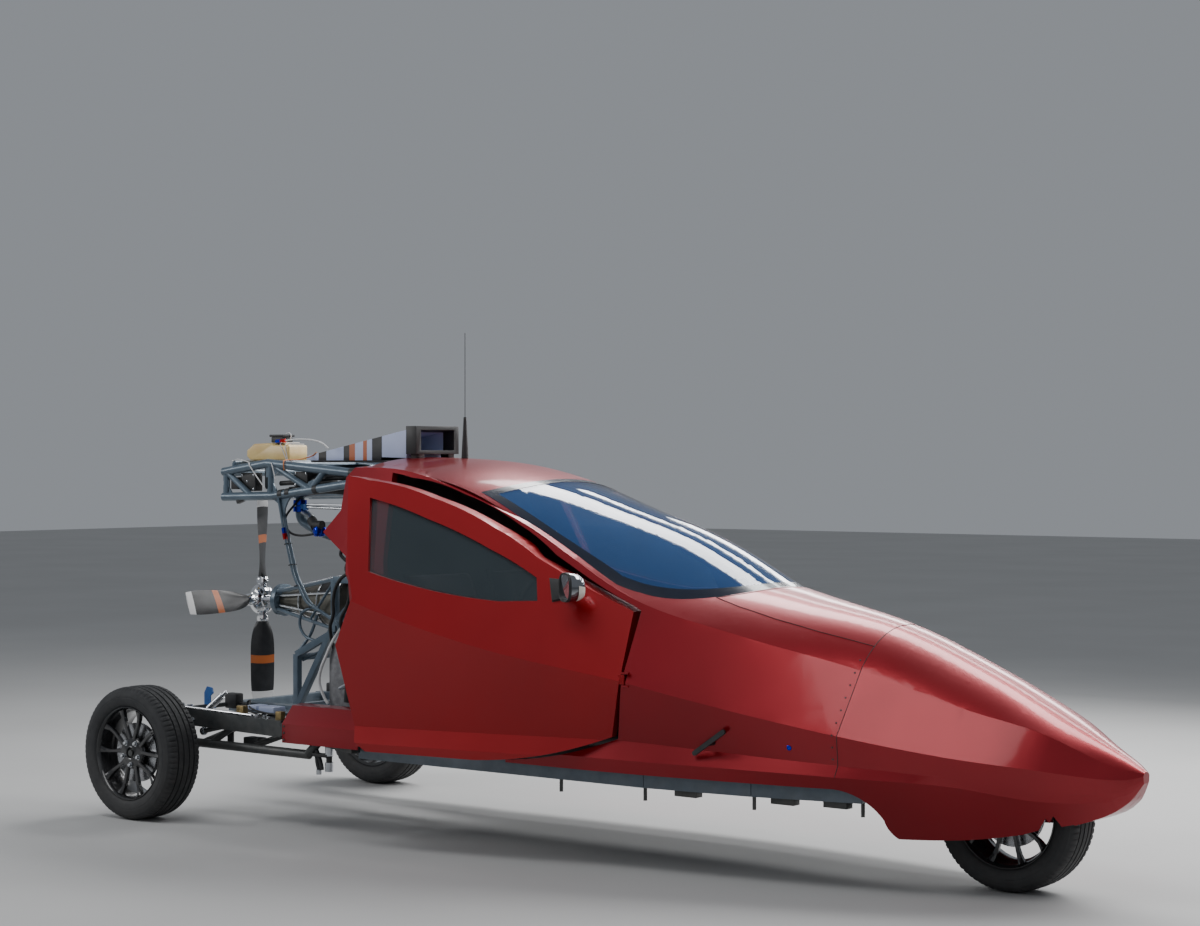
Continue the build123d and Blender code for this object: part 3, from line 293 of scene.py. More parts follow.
screen_glass = glass("screen_glass", (0.012, 0.075, 0.23))


# Mesh helpers
def put(name, bm, material, body, angle=38, clean=True):
    """Finish a bmesh as a smooth-shaded piece that rides on a body."""
    if clean:
        bmesh.ops.recalc_face_normals(bm, faces=bm.faces)
    mesh = bpy.data.meshes.new(name)
    bm.to_mesh(mesh)
    bm.free()
    mesh.shade_smooth()
    mesh.set_sharp_from_angle(angle=math.radians(angle))
    mesh.materials.append(material)
    piece = show(name, mesh)
    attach(piece, body)
    return piece


def bridge(bm, rings, closed=True):
    """Faces between rows of vertices, each row closed to a ring or left open."""
    for near, far in zip(rings, rings[1:]):
        count = len(near)
        for k in range(count if closed else count - 1):
            bm.faces.new((near[k], near[(k + 1) % count], far[(k + 1) % count], far[k]))


def close_ends(bm, rings):
    """Cap the first and the last ring."""
    bm.faces.new(list(reversed(rings[0])))
    bm.faces.new(rings[-1])


def circle(radius, count):
    """Points (across, up) of a circle, anticlockwise from the right."""
    return [(radius * math.cos(full_turn * k / count), radius * math.sin(full_turn * k / count))
            for k in range(count)]


def add_tube(bm, points, radius, sides=10, smooth=True):
    """Round tube through places, on a smooth curve through them when there are three or more."""
    points = [spot_at(*point) for point in points]
    steps = 6
    path = points
    if smooth and len(points) > 2:
        ends = [points[0] * 2 - points[1]] + points + [points[-1] * 2 - points[-2]]
        path = []
        for index in range(1, len(ends) - 2):
            p0, p1, p2, p3 = ends[index - 1:index + 3]
            for step in range(steps):
                t = step / steps
                path.append(0.5 * ((2 * p1) + (p2 - p0) * t + (2 * p0 - 5 * p1 + 4 * p2 - p3) * t * t
                                   + (3 * p1 - p0 - 3 * p2 + p3) * t ** 3))
        path.append(points[-1])
    side = (path[1] - path[0]).normalized().orthogonal().normalized()
    rings = []
    for index, centre in enumerate(path):
        direction = (path[min(index + 1, len(path) - 1)] - path[max(index - 1, 0)]).normalized()
        side = (side - direction * side.dot(direction)).normalized()
        up = direction.cross(side)
        rings.append([bm.verts.new(centre + (side * across + up * rise) * mm)
                      for across, rise in circle(radius, sides)])
    bridge(bm, rings)
    close_ends(bm, rings)


def add_box(bm, place, size, bevel):
    """Box with rounded edges, centred on a transform."""
    made = bmesh.ops.create_cube(bm, size=mm, matrix=place @ Matrix.Diagonal((*size, 1)))
    edges = {edge for vertex in made["verts"] for edge in vertex.link_edges}
    bmesh.ops.bevel(bm, geom=list(edges), offset=min(bevel, min(size) * 0.3) * mm, segments=2,
                    profile=0.6, affect="EDGES")


def add_lathe(bm, profile, place, sides=48):
    """Surface of revolution round a transform's Z axis; profile rows are (radius, height)."""
    rings = []
    for radius, height in profile:
        if radius == 0:
            rings.append([bm.verts.new(place @ Vector((0, 0, height * mm)))] * sides)
        else:
            rings.append([bm.verts.new(place @ (Vector((*point, height)) * mm)) for point in circle(radius, sides)])
    for near, far in zip(rings, rings[1:]):
        for k in range(sides):
            corners = dict.fromkeys((near[k], near[(k + 1) % sides], far[(k + 1) % sides], far[k]))
            if len(corners) > 2:
                bm.faces.new(list(corners))


def add_plate(bm, points, near, far):
    """Flat plate between two sides; points are (ahead, z)."""
    rings = [[bm.verts.new(spot_at(ahead, side, z)) for ahead, z in points] for side in (near, far)]
    bridge(bm, rings)
    close_ends(bm, rings)


def facing(place, direction):
    """Transform that puts the Z axis along a direction at a place."""
    return Matrix.Translation(spot_at(*place)) @ Vector(direction).to_track_quat("Z", "Y").to_matrix().to_4x4()


def add_bolt(bm, place, direction, radius, height):
    """Hexagon head with a washer and a chamfered top."""
    spot = facing(place, direction)
    add_lathe(bm, [(0, 0), (radius * 1.35, 0), (radius * 1.35, height * 0.18), (radius, height * 0.18)], spot, 16)
    add_lathe(bm, [(radius, height * 0.18), (radius, height * 0.85), (radius * 0.8, height), (0, height)], spot, 6)


def add_tie(bm, place, direction, radius):
    """Cable tie round a tube."""
    spot = facing(place, direction)
    add_lathe(bm, [(radius, -2), (radius + 1.6, -1.8), (radius + 1.6, 1.8), (radius, 2)], spot, 20)
    add_box(bm, spot @ Matrix.Translation(((radius + 3) * mm, 0, 0)), (5, 6, 5), 0.5)


# Pieces from rows of places; hand is 1 as given and -1 on the other side of the vehicle
def tubes_piece(name, rows, material, hand=1, smooth=True):
    """Round tubes: rows of (radius, sides, places)."""
    bm = bmesh.new()
    for radius, sides, points in rows:
        add_tube(bm, [(ahead, hand * side, z) for ahead, side, z in points], radius, sides, smooth)
    return put(name, bm, material, root)


def bolts_piece(name, rows, material, hand=1):
    """Hexagon heads: rows of (ahead, side, z, direction, radius, height)."""
    bm = bmesh.new()
    for ahead, side, z, (along, out, up), radius, height in rows:
        add_bolt(bm, (ahead, hand * side, z), (along, hand * out, up), radius, height)
    return put(name, bm, material, root)


def blocks_piece(name, rows, material, bevel=3, hand=1):
    """Rounded boxes: rows of (ahead, side, z, length, width, height)."""
    bm = bmesh.new()
    for ahead, side, z, *size in rows:
        add_box(bm, Matrix.Translation(spot_at(ahead, hand * side, z)), size, bevel)
    return put(name, bm, material, root)


def plates_piece(name, rows, material, hand=1):
    """Flat plates: rows of (near side, far side, points), with points as (ahead, z)."""
    bm = bmesh.new()
    for near, far, points in rows:
        add_plate(bm, points, hand * near, hand * far)
    return put(name, bm, material, root)


# Copies of CAD nodes. Hinge pins and the steering stem are drawn a little thinner, so that their flat facets
# turn freely inside the facets of their bearings; rows are (ahead, side, reach).
pin_share = 0.92
hinge_pins = ((hinge_ahead, hinge_side, 4.6), (hinge_ahead, -hinge_side, 4.6))
slim_pins = {"front_body": hinge_pins, "front_fork": ((wheelbase, 0, 20.3),)}
body_of_node = {node: body for body, members in frame["record"]["behaviour"]["bodies"].items() for node in members}


def node_bmesh(node):
    """Copy of a CAD node's mesh with its shared corners joined."""
    source = frame["nodes"][node].data
    bm = bmesh.new()
    corners = [bm.verts.new(vertex.co) for vertex in source.vertices]
    for polygon in source.polygons:
        if len(set(polygon.vertices)) == len(polygon.vertices):
            try:
                bm.faces.new([corners[index] for index in polygon.vertices])
            except ValueError:
                continue
    bmesh.ops.remove_doubles(bm, verts=bm.verts, dist=0.04 * mm)
    for ahead, side, reach in slim_pins.get(node, ()):
        for vertex in bm.verts:
            along, out = vertex.co.x - at(ahead), vertex.co.y - side * mm
            if math.hypot(along, out) < reach * mm:
                vertex.co.x, vertex.co.y = at(ahead) + pin_share * along, side * mm + pin_share * out
    return bm


def put_skin(node, bm, material, angle):
    """Put a finished copy of a CAD node in the node's place."""
    piece = put(f"{node}_skin", bm, material, body_of_node[node], angle=angle, clean=False)
    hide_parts(node)


def dress(node, material, bevel=0, angle=34):
    """Smooth-shaded, edge-rounded copy of a CAD node that stands for it."""
    bm = node_bmesh(node)
    if bevel:
        bmesh.ops.dissolve_limit(bm, angle_limit=math.radians(0.4), verts=bm.verts, edges=bm.edges)
        sharp = [edge for edge in bm.edges
                 if len(edge.link_faces) == 2 and edge.calc_face_angle(0) > math.radians(40)
                 and edge.calc_length() > bevel * 2 * mm]
        bmesh.ops.bevel(bm, geom=sharp, offset=bevel * mm, segments=2, profile=0.6, affect="EDGES",
                        clamp_overlap=True)
        bmesh.ops.triangulate(bm, faces=[face for face in bm.faces if len(face.verts) > 4])
    put_skin(node, bm, material, angle)


# Body sections as in the part: rows of the station and top_z, shoulder, crease, tuck, sill and base (y, z).
# The dome's rows end at its edge.
body_sections = [
    (900, 1690, 462, 1672, 690, 1345, 650, 560, 672, 490, 655, 215),
    (1450, 1668, 500, 1648, 738, 1112, 652, 545, 680, 475, 662, 215),
    (2100, 1480, 525, 1440, 748, 925, 655, 545, 690, 472, 665, 215),
    (2750, 1258, 568, 1128, 722, 806, 640, 545, 675, 470, 630, 215),
    (3250, 1142, 475, 985, 640, 708, 585, 525, 620, 468, 545, 215),
    (3722, 1032, 352, 868, 530, 622, 520, 505, 545, 462, 420, 215),
    (4150, 862, 288, 738, 425, 560, 408, 480, 402, 445, 305, 228),
    (4450, 714, 205, 654, 298, 524, 275, 440, 262, 400, 178, 276),
    (4650, 598, 112, 552, 162, 492, 148, 430, 135, 398, 92, 338),
    (4740, 546, 62, 520, 82, 486, 78, 450, 72, 430, 52, 400),
    (4784, 514, 20, 508, 26, 498, 25, 487, 24, 479, 20, 470),
]
dome_sections = [
    (900, 1722, 462, 1655), (1500, 1700, 495, 1632), (1850, 1634, 505, 1545),
    (2250, 1520, 525, 1355), (2700, 1372, 560, 1120), (3150, 1150, 520, 900),
]
arc_steps = 14


def span(rows, ahead):
    """Index of the row that the gap round a station starts with."""
    return max(k for k in range(len(rows) - 1) if k == 0 or rows[k][0] <= ahead)


def eased(rows, ahead):
    """Row of a section table at any station, on smooth curves through the given rows."""
    index = span(rows, ahead)
    here, there = rows[index], rows[index + 1]
    gap = there[0] - here[0]
    t = min(max((ahead - here[0]) / gap, 0), 1)

    def slope(place, column):
        before, after = rows[max(place - 1, 0)], rows[min(place + 1, len(rows) - 1)]
        return (after[column] - before[column]) / (after[0] - before[0])

    row = []
    for column in range(1, len(here)):
        rise = there[column] - here[column]
        start, end = slope(index, column) * gap - rise, slope(index + 1, column) * gap - rise
        row.append(here[column] + t * rise + t * (1 - t) * ((1 - t) * start - t * end))
    return row


def straight(rows, ahead):
    """The same row with straight runs between the part's own rows, two to each gap."""
    index = span(rows, ahead)
    low, high = rows[index][0], rows[index + 1][0]
    middle = (low + high) / 2
    first, last = (low, middle) if ahead < middle else (middle, high)
    t = min(max((ahead - first) / (last - first), 0), 1)
    return [a + (b - a) * t for a, b in zip(eased(rows, first), eased(rows, last))]


def arc_radius(half_chord, rise):
    """Radius of an arc."""
    return (half_chord ** 2 + rise ** 2) / (2 * rise)


def arc_at(top, half_chord, rise, side):
    """Height of an arc at a distance from its middle, where it reaches top."""
    radius = arc_radius(half_chord, rise)
    return top - radius + math.sqrt(radius ** 2 - side ** 2)


def outline(row):
    """Points (y, z) round the left half of a section, from the base or the dome's edge up to the crown."""
    top_z, shoulder_y, shoulder_z, *lower = row
    points = [(0, lower[-1])] if lower else []
    points += reversed(list(zip(lower[::2], lower[1::2])))
    radius = arc_radius(shoulder_y, top_z - shoulder_z)
    sweep = math.asin(min(shoulder_y / radius, 1))
    for k in range(arc_steps + 1):
        turn = sweep * (1 - k / arc_steps)
        points.append((radius * math.sin(turn), top_z - radius + radius * math.cos(turn)))
    return points


def nearest(points, y, z):
    """Distance, segment and share along it of the outline point nearest to (y, z)."""
    best = (math.inf, 0, 0)
    for index, ((ay, az), (by, bz)) in enumerate(zip(points, points[1:])):
        dy, dz = by - ay, bz - az
        length = dy * dy + dz * dz
        t = min(max(((y - ay) * dy + (z - az) * dz) / length, 0), 1) if length > 1e-6 else 0
        away = math.hypot(ay + t * dy - y, az + t * dz - z)
        if away < best[0]:
            best = (away, index, t)
    return best


def smooth_body(bm):
    """Cut a body panel at close stations and move it from the straight runs on to the smooth surface."""
    step, hinge_reach = 45, 12.5
    low = min(vertex.co.x for vertex in bm.verts)
    high = max(vertex.co.x for vertex in bm.verts)
    count = int((high - low) / (step * mm)) + 1
    for index in range(1, count):
        bmesh.ops.bisect_plane(bm, geom=list(bm.verts) + list(bm.edges) + list(bm.faces), dist=1e-5,
                               plane_no=(1, 0, 0), plane_co=(low + (high - low) * index / count, 0, 0))
    kept = {}
    for vertex in bm.verts:
        ahead, side, z = vertex.co.x / mm - rear_axle_x, vertex.co.y / mm, vertex.co.z / mm
        if math.hypot(ahead - hinge_ahead, abs(side) - hinge_side) < hinge_reach:
            continue
        ahead = min(max(ahead, body_sections[0][0]), body_sections[-1][0])
        key = round(ahead, 2)
        if key not in kept:
            tables = [body_sections] + ([dome_sections] if ahead < dome_sections[-1][0] else [])
            kept[key] = [(outline(straight(rows, ahead)), outline(eased(rows, ahead))) for rows in tables]
        found = [(nearest(flat, abs(side), z), flat, curved) for flat, curved in kept[key]]
        (_, index, t), flat, curved = min(found, key=lambda item: item[0][0])
        (ay, az), (by, bz) = flat[index:index + 2]
        (cy, cz), (dy, dz) = curved[index:index + 2]
        if abs(side) > 0.1:
            vertex.co.y += math.copysign(mm, side) * (cy + (dy - cy) * t - ay - (by - ay) * t)
        vertex.co.z += mm * (cz + (dz - cz) * t - az - (bz - az) * t)


def about_hinge(turn):
    """Turn about the right door's hinge."""
    hinge = Matrix.Translation(spot_at(hinge_ahead, -hinge_side, 0))
    return hinge @ Matrix.Rotation(turn, 4, "Z") @ hinge.inverted()


def dress_body(node, material, turned=0.0):
    """Skin of a body panel or door on the smooth surface; turned is how far the piece stands open."""
    bm = node_bmesh(node)
    bmesh.ops.transform(bm, verts=bm.verts, matrix=about_hinge(-turned))
    smooth_body(bm)
    bmesh.ops.transform(bm, verts=bm.verts, matrix=about_hinge(turned))
    for vertex in bm.verts:
        vertex.co.y = max(vertex.co.y, cad_box[0][1])
    bmesh.ops.remove_doubles(bm, verts=bm.verts, dist=0.2 * mm)
    put_skin(node, bm, material, 8)


build_camera()
build_stage()

# Body panels, glass and plain pieces
for node in ("cabin_shell", "front_body", "hood_hatch", "nose_cone"):
    dress_body(node, paint)
dress_body("door_left", door_paint)
dress_body("door_right", door_paint, turned=door_ajar)
dress_body("door_window_left", door_glass)
dress_body("door_window_right", door_glass, turned=door_ajar)
for node, *look in (
        ("stub_fairings", paint, 1.2), ("cabin_tub", trim, 4), ("bulkhead", trim, 4),
        ("dashboard", trim, 4), ("seat_frames", trim, 3), ("belly_frame", frame_paint, 2),
        ("belly_fittings", dark_steel, 1.5), ("side_vanes", black_plastic, 1.5),
        ("front_fork", dark_steel, 2), ("trailing_arms", dark_steel, 2),
        ("rear_knuckles", dark_steel, 3), ("chassis_rails", frame_paint, 2.5),
        ("engine_block", cast_engine, 4), ("tower_frame", frame_paint, 1.5), ("upper_truss", frame_paint),
        ("air_scoop", scoop_sheet, 1.5), ("antenna", black_plastic), ("service_pipes", frame_paint),
        ("pipe_couplers", blue_anodised, 1.5), ("drive_housing", cone_olive, 1),
        ("propeller_blades", blade_black, 0, 50), ("steering_wheel", black_plastic),
        ("header_tank", tank_plastic, 12)):
    dress(node, *look)
dress_body("windshield", screen_glass)


# Panel lines, screws and trim on the body
def dome_z(ahead, side):
    """Height of the roof dome's surface."""
    top_z, edge_y, edge_z = eased(dome_sections, ahead)
    return arc_at(top_z, edge_y, top_z - edge_z, side)


def body_side(ahead, z):
    """Half-width of the body at a height, and the outward normal there as (y, z)."""
    points = outline(eased(body_sections, ahead))
    for (ay, az), (by, bz) in zip(points[1:], points[2:]):
        if az <= z <= bz:
            t = (z - az) / max(bz - az, 1e-6)
            length = math.hypot(by - ay, bz - az)
            return ay + t * (by - ay), (bz - az) / length, -(by - ay) / length
    return points[-1][0], 0, 1


def crown_spot(ahead, side):
    """Place just above the body's top surface."""
    points = outline(eased(body_sections, ahead))[4:]
    height = points[-1][1]
    for (ay, az), (by, bz) in zip(points, points[1:]):
        if by <= abs(side) <= ay:
            height = bz + (az - bz) * (abs(side) - by) / max(ay - by, 1e-6)
            break
    return ahead, side, height + 0.3


def build_seams():
    half = outline(eased(body_sections, seam_ahead))[2:]
    lines = [[(seam_ahead, y, z) for y, z in half] + [(seam_ahead, -y, z) for y, z in reversed(half[:-1])]]
    edge = [(3010, 345), (3130, 347), (3300, 330), (3500, 298), (3722, 250)]
    fine = [(a + (c - a) * k / 6, b + (d - b) * k / 6) for (a, b), (c, d) in zip(edge, edge[1:]) for k in range(6)]
    for _, hand in hands:
        lines.append([crown_spot(ahead, hand * side) for ahead, side in fine + edge[-1:]])
    front = [345 * (k / 12 - 1) for k in range(25)]
    lines.append([crown_spot(arc_at(3140, 345, 130, side), side) for side in front])
    tubes_piece("body_seams", [(1.6, 6, line) for line in lines], seal_rubber, smooth=False)
    screw_ahead = seam_ahead - 20
    screws = []
    for index in range(9):
        z = 530 + 47 * index
        y, ny, nz = body_side(screw_ahead, z)
        screws += [(screw_ahead, hand * (y - 0.8), z, (0, hand * ny, nz), 3.6, 2.2) for _, hand in hands]
    bolts_piece("seam_screws", screws, dark_steel)
    plug_ahead, plug_z = 3520, 565
    y, ny, nz = body_side(plug_ahead, plug_z)
    bm = bmesh.new()
    for _, hand in hands:
        add_lathe(bm, [(11, 0), (11, 2), (9, 3.5), (4, 3.5), (3, 2), (0, 2)],
                  facing((plug_ahead, hand * (y - 1), plug_z), (0, hand * ny, nz)), 24)
    put("side_plugs", bm, blue_anodised, root)


def build_frit():
    """Black painted border of the windshield: bands inward from its edge, just above the glass."""
    count, lift = 30, 1.2
    foot_side, head_side = 540, 475
    middle = Vector((2420, 0))
    shares = [k / count for k in range(count + 1)]
    loop = [(arc_at(1915, head_side, 85, head_side * t), head_side * t) for t in shares[:-1]]
    loop += [(1830 + 810 * t, head_side + 65 * t) for t in shares]
    loop += [(arc_at(3130, foot_side, 490, foot_side * (1 - t)), foot_side * (1 - t)) for t in shares[1:]]
    loop += [(ahead, -side) for ahead, side in reversed(loop[1:-1])]
    bm = bmesh.new()
    rings = []
    for depth in (1, 12, 24, 36, 46):
        ring = []
        for index, (ahead, side) in enumerate(loop):
            before, after = loop[index - 1], loop[(index + 1) % len(loop)]
            away = Vector((after[1] - before[1], before[0] - after[0])).normalized() * depth
            if away.dot(middle - Vector((ahead, side))) < 0:
                away = -away
            a, b = ahead + away.x, side + away.y
            ring.append(bm.verts.new(spot_at(a, b, dome_z(a, b) + lift)))
        rings.append(ring)
    bridge(bm, rings)
    put("windshield_border", bm, frit_black, root)


def build_jamb():
    """Black door frames: a liner on the upper and front edges of each door opening."""
    (ax, az), (bx, bz), (cx, cz) = (1345, 1625), (1864, 1513), (2321, 1290)
    edge = []
    for k in range(25):
        t = k / 24
        near, middle, far = (1 - t) * (1 - 2 * t), 4 * t * (1 - t), t * (2 * t - 1)
        edge.append((near * ax + middle * bx + far * cx, near * az + middle * bz + far * cz))
    edge += [(2400, 1253.5), (2500, 1208), (2600, 1163), (2700, 1118), (2775, 1084)]
    for label, hand in hands:
        bm = bmesh.new()
        rings = []
        for index, (ahead, z) in enumerate(edge):
            before, after = edge[max(index - 1, 0)], edge[min(index + 1, len(edge) - 1)]
            rise = Vector((before[1] - after[1], after[0] - before[0])).normalized()
            ring = []
            for lift, depth in ((8.8, 22), (8.8, 90), (11, 93)):
                a, h = ahead + rise.x * lift, z + rise.y * lift
                ring.append(bm.verts.new(spot_at(a, hand * (body_side(a, h)[0] - depth), h)))
            rings.append(ring)
        bridge(bm, rings, closed=False)
        put(f"door_frame_{label}", bm, seal_rubber, root)


build_seams()
build_frit()
build_jamb()


# Mirror on the right door: built for the closed left door and hung on the right one, with local X behind its glass
hung = about_hinge(door_ajar) @ Matrix.Diagonal((1, -1, 1, 1))
mirror_place = (hung @ Matrix.Translation(spot_at(2540.2, 734.9, 1178))
                @ Matrix.Rotation(math.radians(-55), 4, "Z"))


def rounded_ring(bm, depth, width, height, sides=40, first=0.0, last=full_turn):
    """Vertices round a rounded rectangle across the mirror head; an open one ends short of a full turn."""
    power = 1 / 1.38
    drop = 6 * max(0, (depth - 50) / 46)
    steps = sides if last == full_turn else sides - 1
    ring = []
    for k in range(sides):
        turn = first + (last - first) * k / steps
        c, q = math.cos(turn), math.sin(turn)
        ring.append(bm.verts.new(Vector((depth, math.copysign(abs(c) ** power, c) * width / 2,
                                         math.copysign(abs(q) ** power, q) * height / 2 - drop)) * mm))
    return ring


def put_on_door(name, bm, material, place=mirror_place, angle=38, clean=True):
    """Finish a piece of the mirror."""
    bmesh.ops.transform(bm, verts=bm.verts, matrix=place)
    return put(name, bm, material, "right_door", angle=angle, clean=clean)


def build_mirror():
    """Mirror head folded forward on its foot: shell, rim, glass, lamp, and foot with its arm."""
    bm = bmesh.new()
    rings = [rounded_ring(bm, *row) for row in (
        (12, 101, 124), (25.5, 100, 120.5), (54.5, 96, 114), (75.5, 78, 92),
        (85, 62, 74), (90, 40, 48))]
    bridge(bm, rings)
    bm.faces.new(rings[-1])
    # The shell's darkened chrome colour is painted reflection of dark surroundings
    piece = put_on_door("mirror_shell", bm, chrome_painted_reflection, angle=60)
    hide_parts("mirror_right")
    bm = bmesh.new()
    bridge(bm, [rounded_ring(bm, *row) for row in (
        (12, 101, 124), (5, 100, 123), (0, 96, 119), (1.5, 90, 112),
        (17, 84, 106))])
    put_on_door("mirror_rim", bm, black_plastic)
    bm = bmesh.new()
    pane = rounded_ring(bm, 10, 86, 108)
    for vertex in pane:
        vertex.co.x -= 0.115 * vertex.co.z
    bm.faces.new(pane)
    put_on_door("mirror_pane", bm, mirror_glass, clean=False)
    bm = bmesh.new()
    bridge(bm, [rounded_ring(bm, depth, width + 2.6, height + 2.6, sides=14, first=-1.25, last=0.05)
                for depth, width, height in ((46, 98, 117), (54.5, 96, 114), (66, 88, 103.5),
                                             (75.5, 78, 92), (83, 66, 79))], closed=False)
    put_on_door("mirror_lamp", bm, lamp_clear)
    bm = bmesh.new()
    for grow in (0, 11):
        ring = []
        for ahead, z in ((2400, 1205), (2470, 1200), (2505, 1128), (2432, 1112)):
            y, ny, nz = body_side(ahead, z)
            ring.append(bm.verts.new(spot_at(ahead, y + ny * grow, z + nz * grow)))
        bm.faces.new(ring)
    bmesh.ops.bridge_loops(bm, edges=list(bm.edges))
    sharp = [edge for edge in bm.edges if len(edge.link_faces) == 2 and edge.calc_face_angle(0) > 0.5]
    bmesh.ops.bevel(bm, geom=sharp, offset=3 * mm, segments=2, profile=0.6, affect="EDGES")
    add_tube(bm, [(2470, 608, 1152), (2510, 640, 1150), (2556, 682, 1150)], 16.5, 20)
    put_on_door("mirror_foot", bm, black_plastic, place=hung)


build_mirror()


# Seats: crowned cushions with a centre panel, side bolsters and stitched seams
def cushion_height(u, v):
    """Share of a cushion's thickness at u across and v along, both from -1 to 1."""
    rim = (1 - abs(u) ** 6) * (1 - abs(v) ** 8)
    crown = 0.74 + 0.10 * (1 - u * u) * (1 - v * v) + 0.10 * math.exp(-((abs(u) - 0.78) / 0.16) ** 2)
    seam = math.exp(-((abs(u) - 0.60) / 0.018) ** 2) * 0.10
    ribs = sum(math.exp(-((v - place) / 0.016) ** 2) * 0.075 for place in (-0.5, 0.0, 0.5)) * (abs(u) < 0.6)
    return max(crown - seam - ribs, 0.2) * max(rim, 0.0) ** 0.35


def build_cushion(name, side, start, end):
    """Cushion along a seat profile line from start to end, both (ahead, z)."""
    width, thick = 404, 70
    across, along = 36, 48
    run = Vector((end[0] - start[0], 0, end[1] - start[1]))
    first, last = 95, run.length - 12
    run.normalize()
    rise = Vector((-run.z, 0, run.x)) * (1 if start[1] + 100 > end[1] else -1)
    corner = spot_at(start[0], side, start[1])
    bm = bmesh.new()

    def vertex(i, j, height=None):
        """Vertex over the seat line at a grid place, at the cushion's own height unless one is given."""
        u, v = math.sin((i / across * 2 - 1) * math.pi / 2), j / along * 2 - 1
        if height is None:
            height = 0.8 + (thick - 2) * cushion_height(u * 0.999, v * 0.999)
        return bm.verts.new(corner + (run * (first + (last - first) * (v + 1) / 2)
                                      + Vector((0, u * width / 2, 0)) + rise * height) * mm)

    grid = [[vertex(i, j) for j in range(along + 1)] for i in range(across + 1)]
    bridge(bm, grid, closed=False)
    border = ([(i, 0) for i in range(across)] + [(across, j) for j in range(along)]
              + [(i, along) for i in range(across, 0, -1)] + [(0, j) for j in range(along, 0, -1)])
    foot = [vertex(i, j, 0.6) for i, j in border]
    bridge(bm, [[grid[i][j] for i, j in border], foot])
    bm.faces.new(foot)
    bmesh.ops.triangulate(bm, faces=[face for face in bm.faces if len(face.verts) > 4])
    piece = put(name, bm, seat_cloth, root, angle=60)
    return piece


for label, hand in hands:
    side = hand * seat_side
    build_cushion(f"seat_base_{label}", side, (1600, 520), (2080, 560))
    build_cushion(f"seat_back_{label}", side, (1600, 520), (1400, 1190))
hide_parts("seat_cushions")


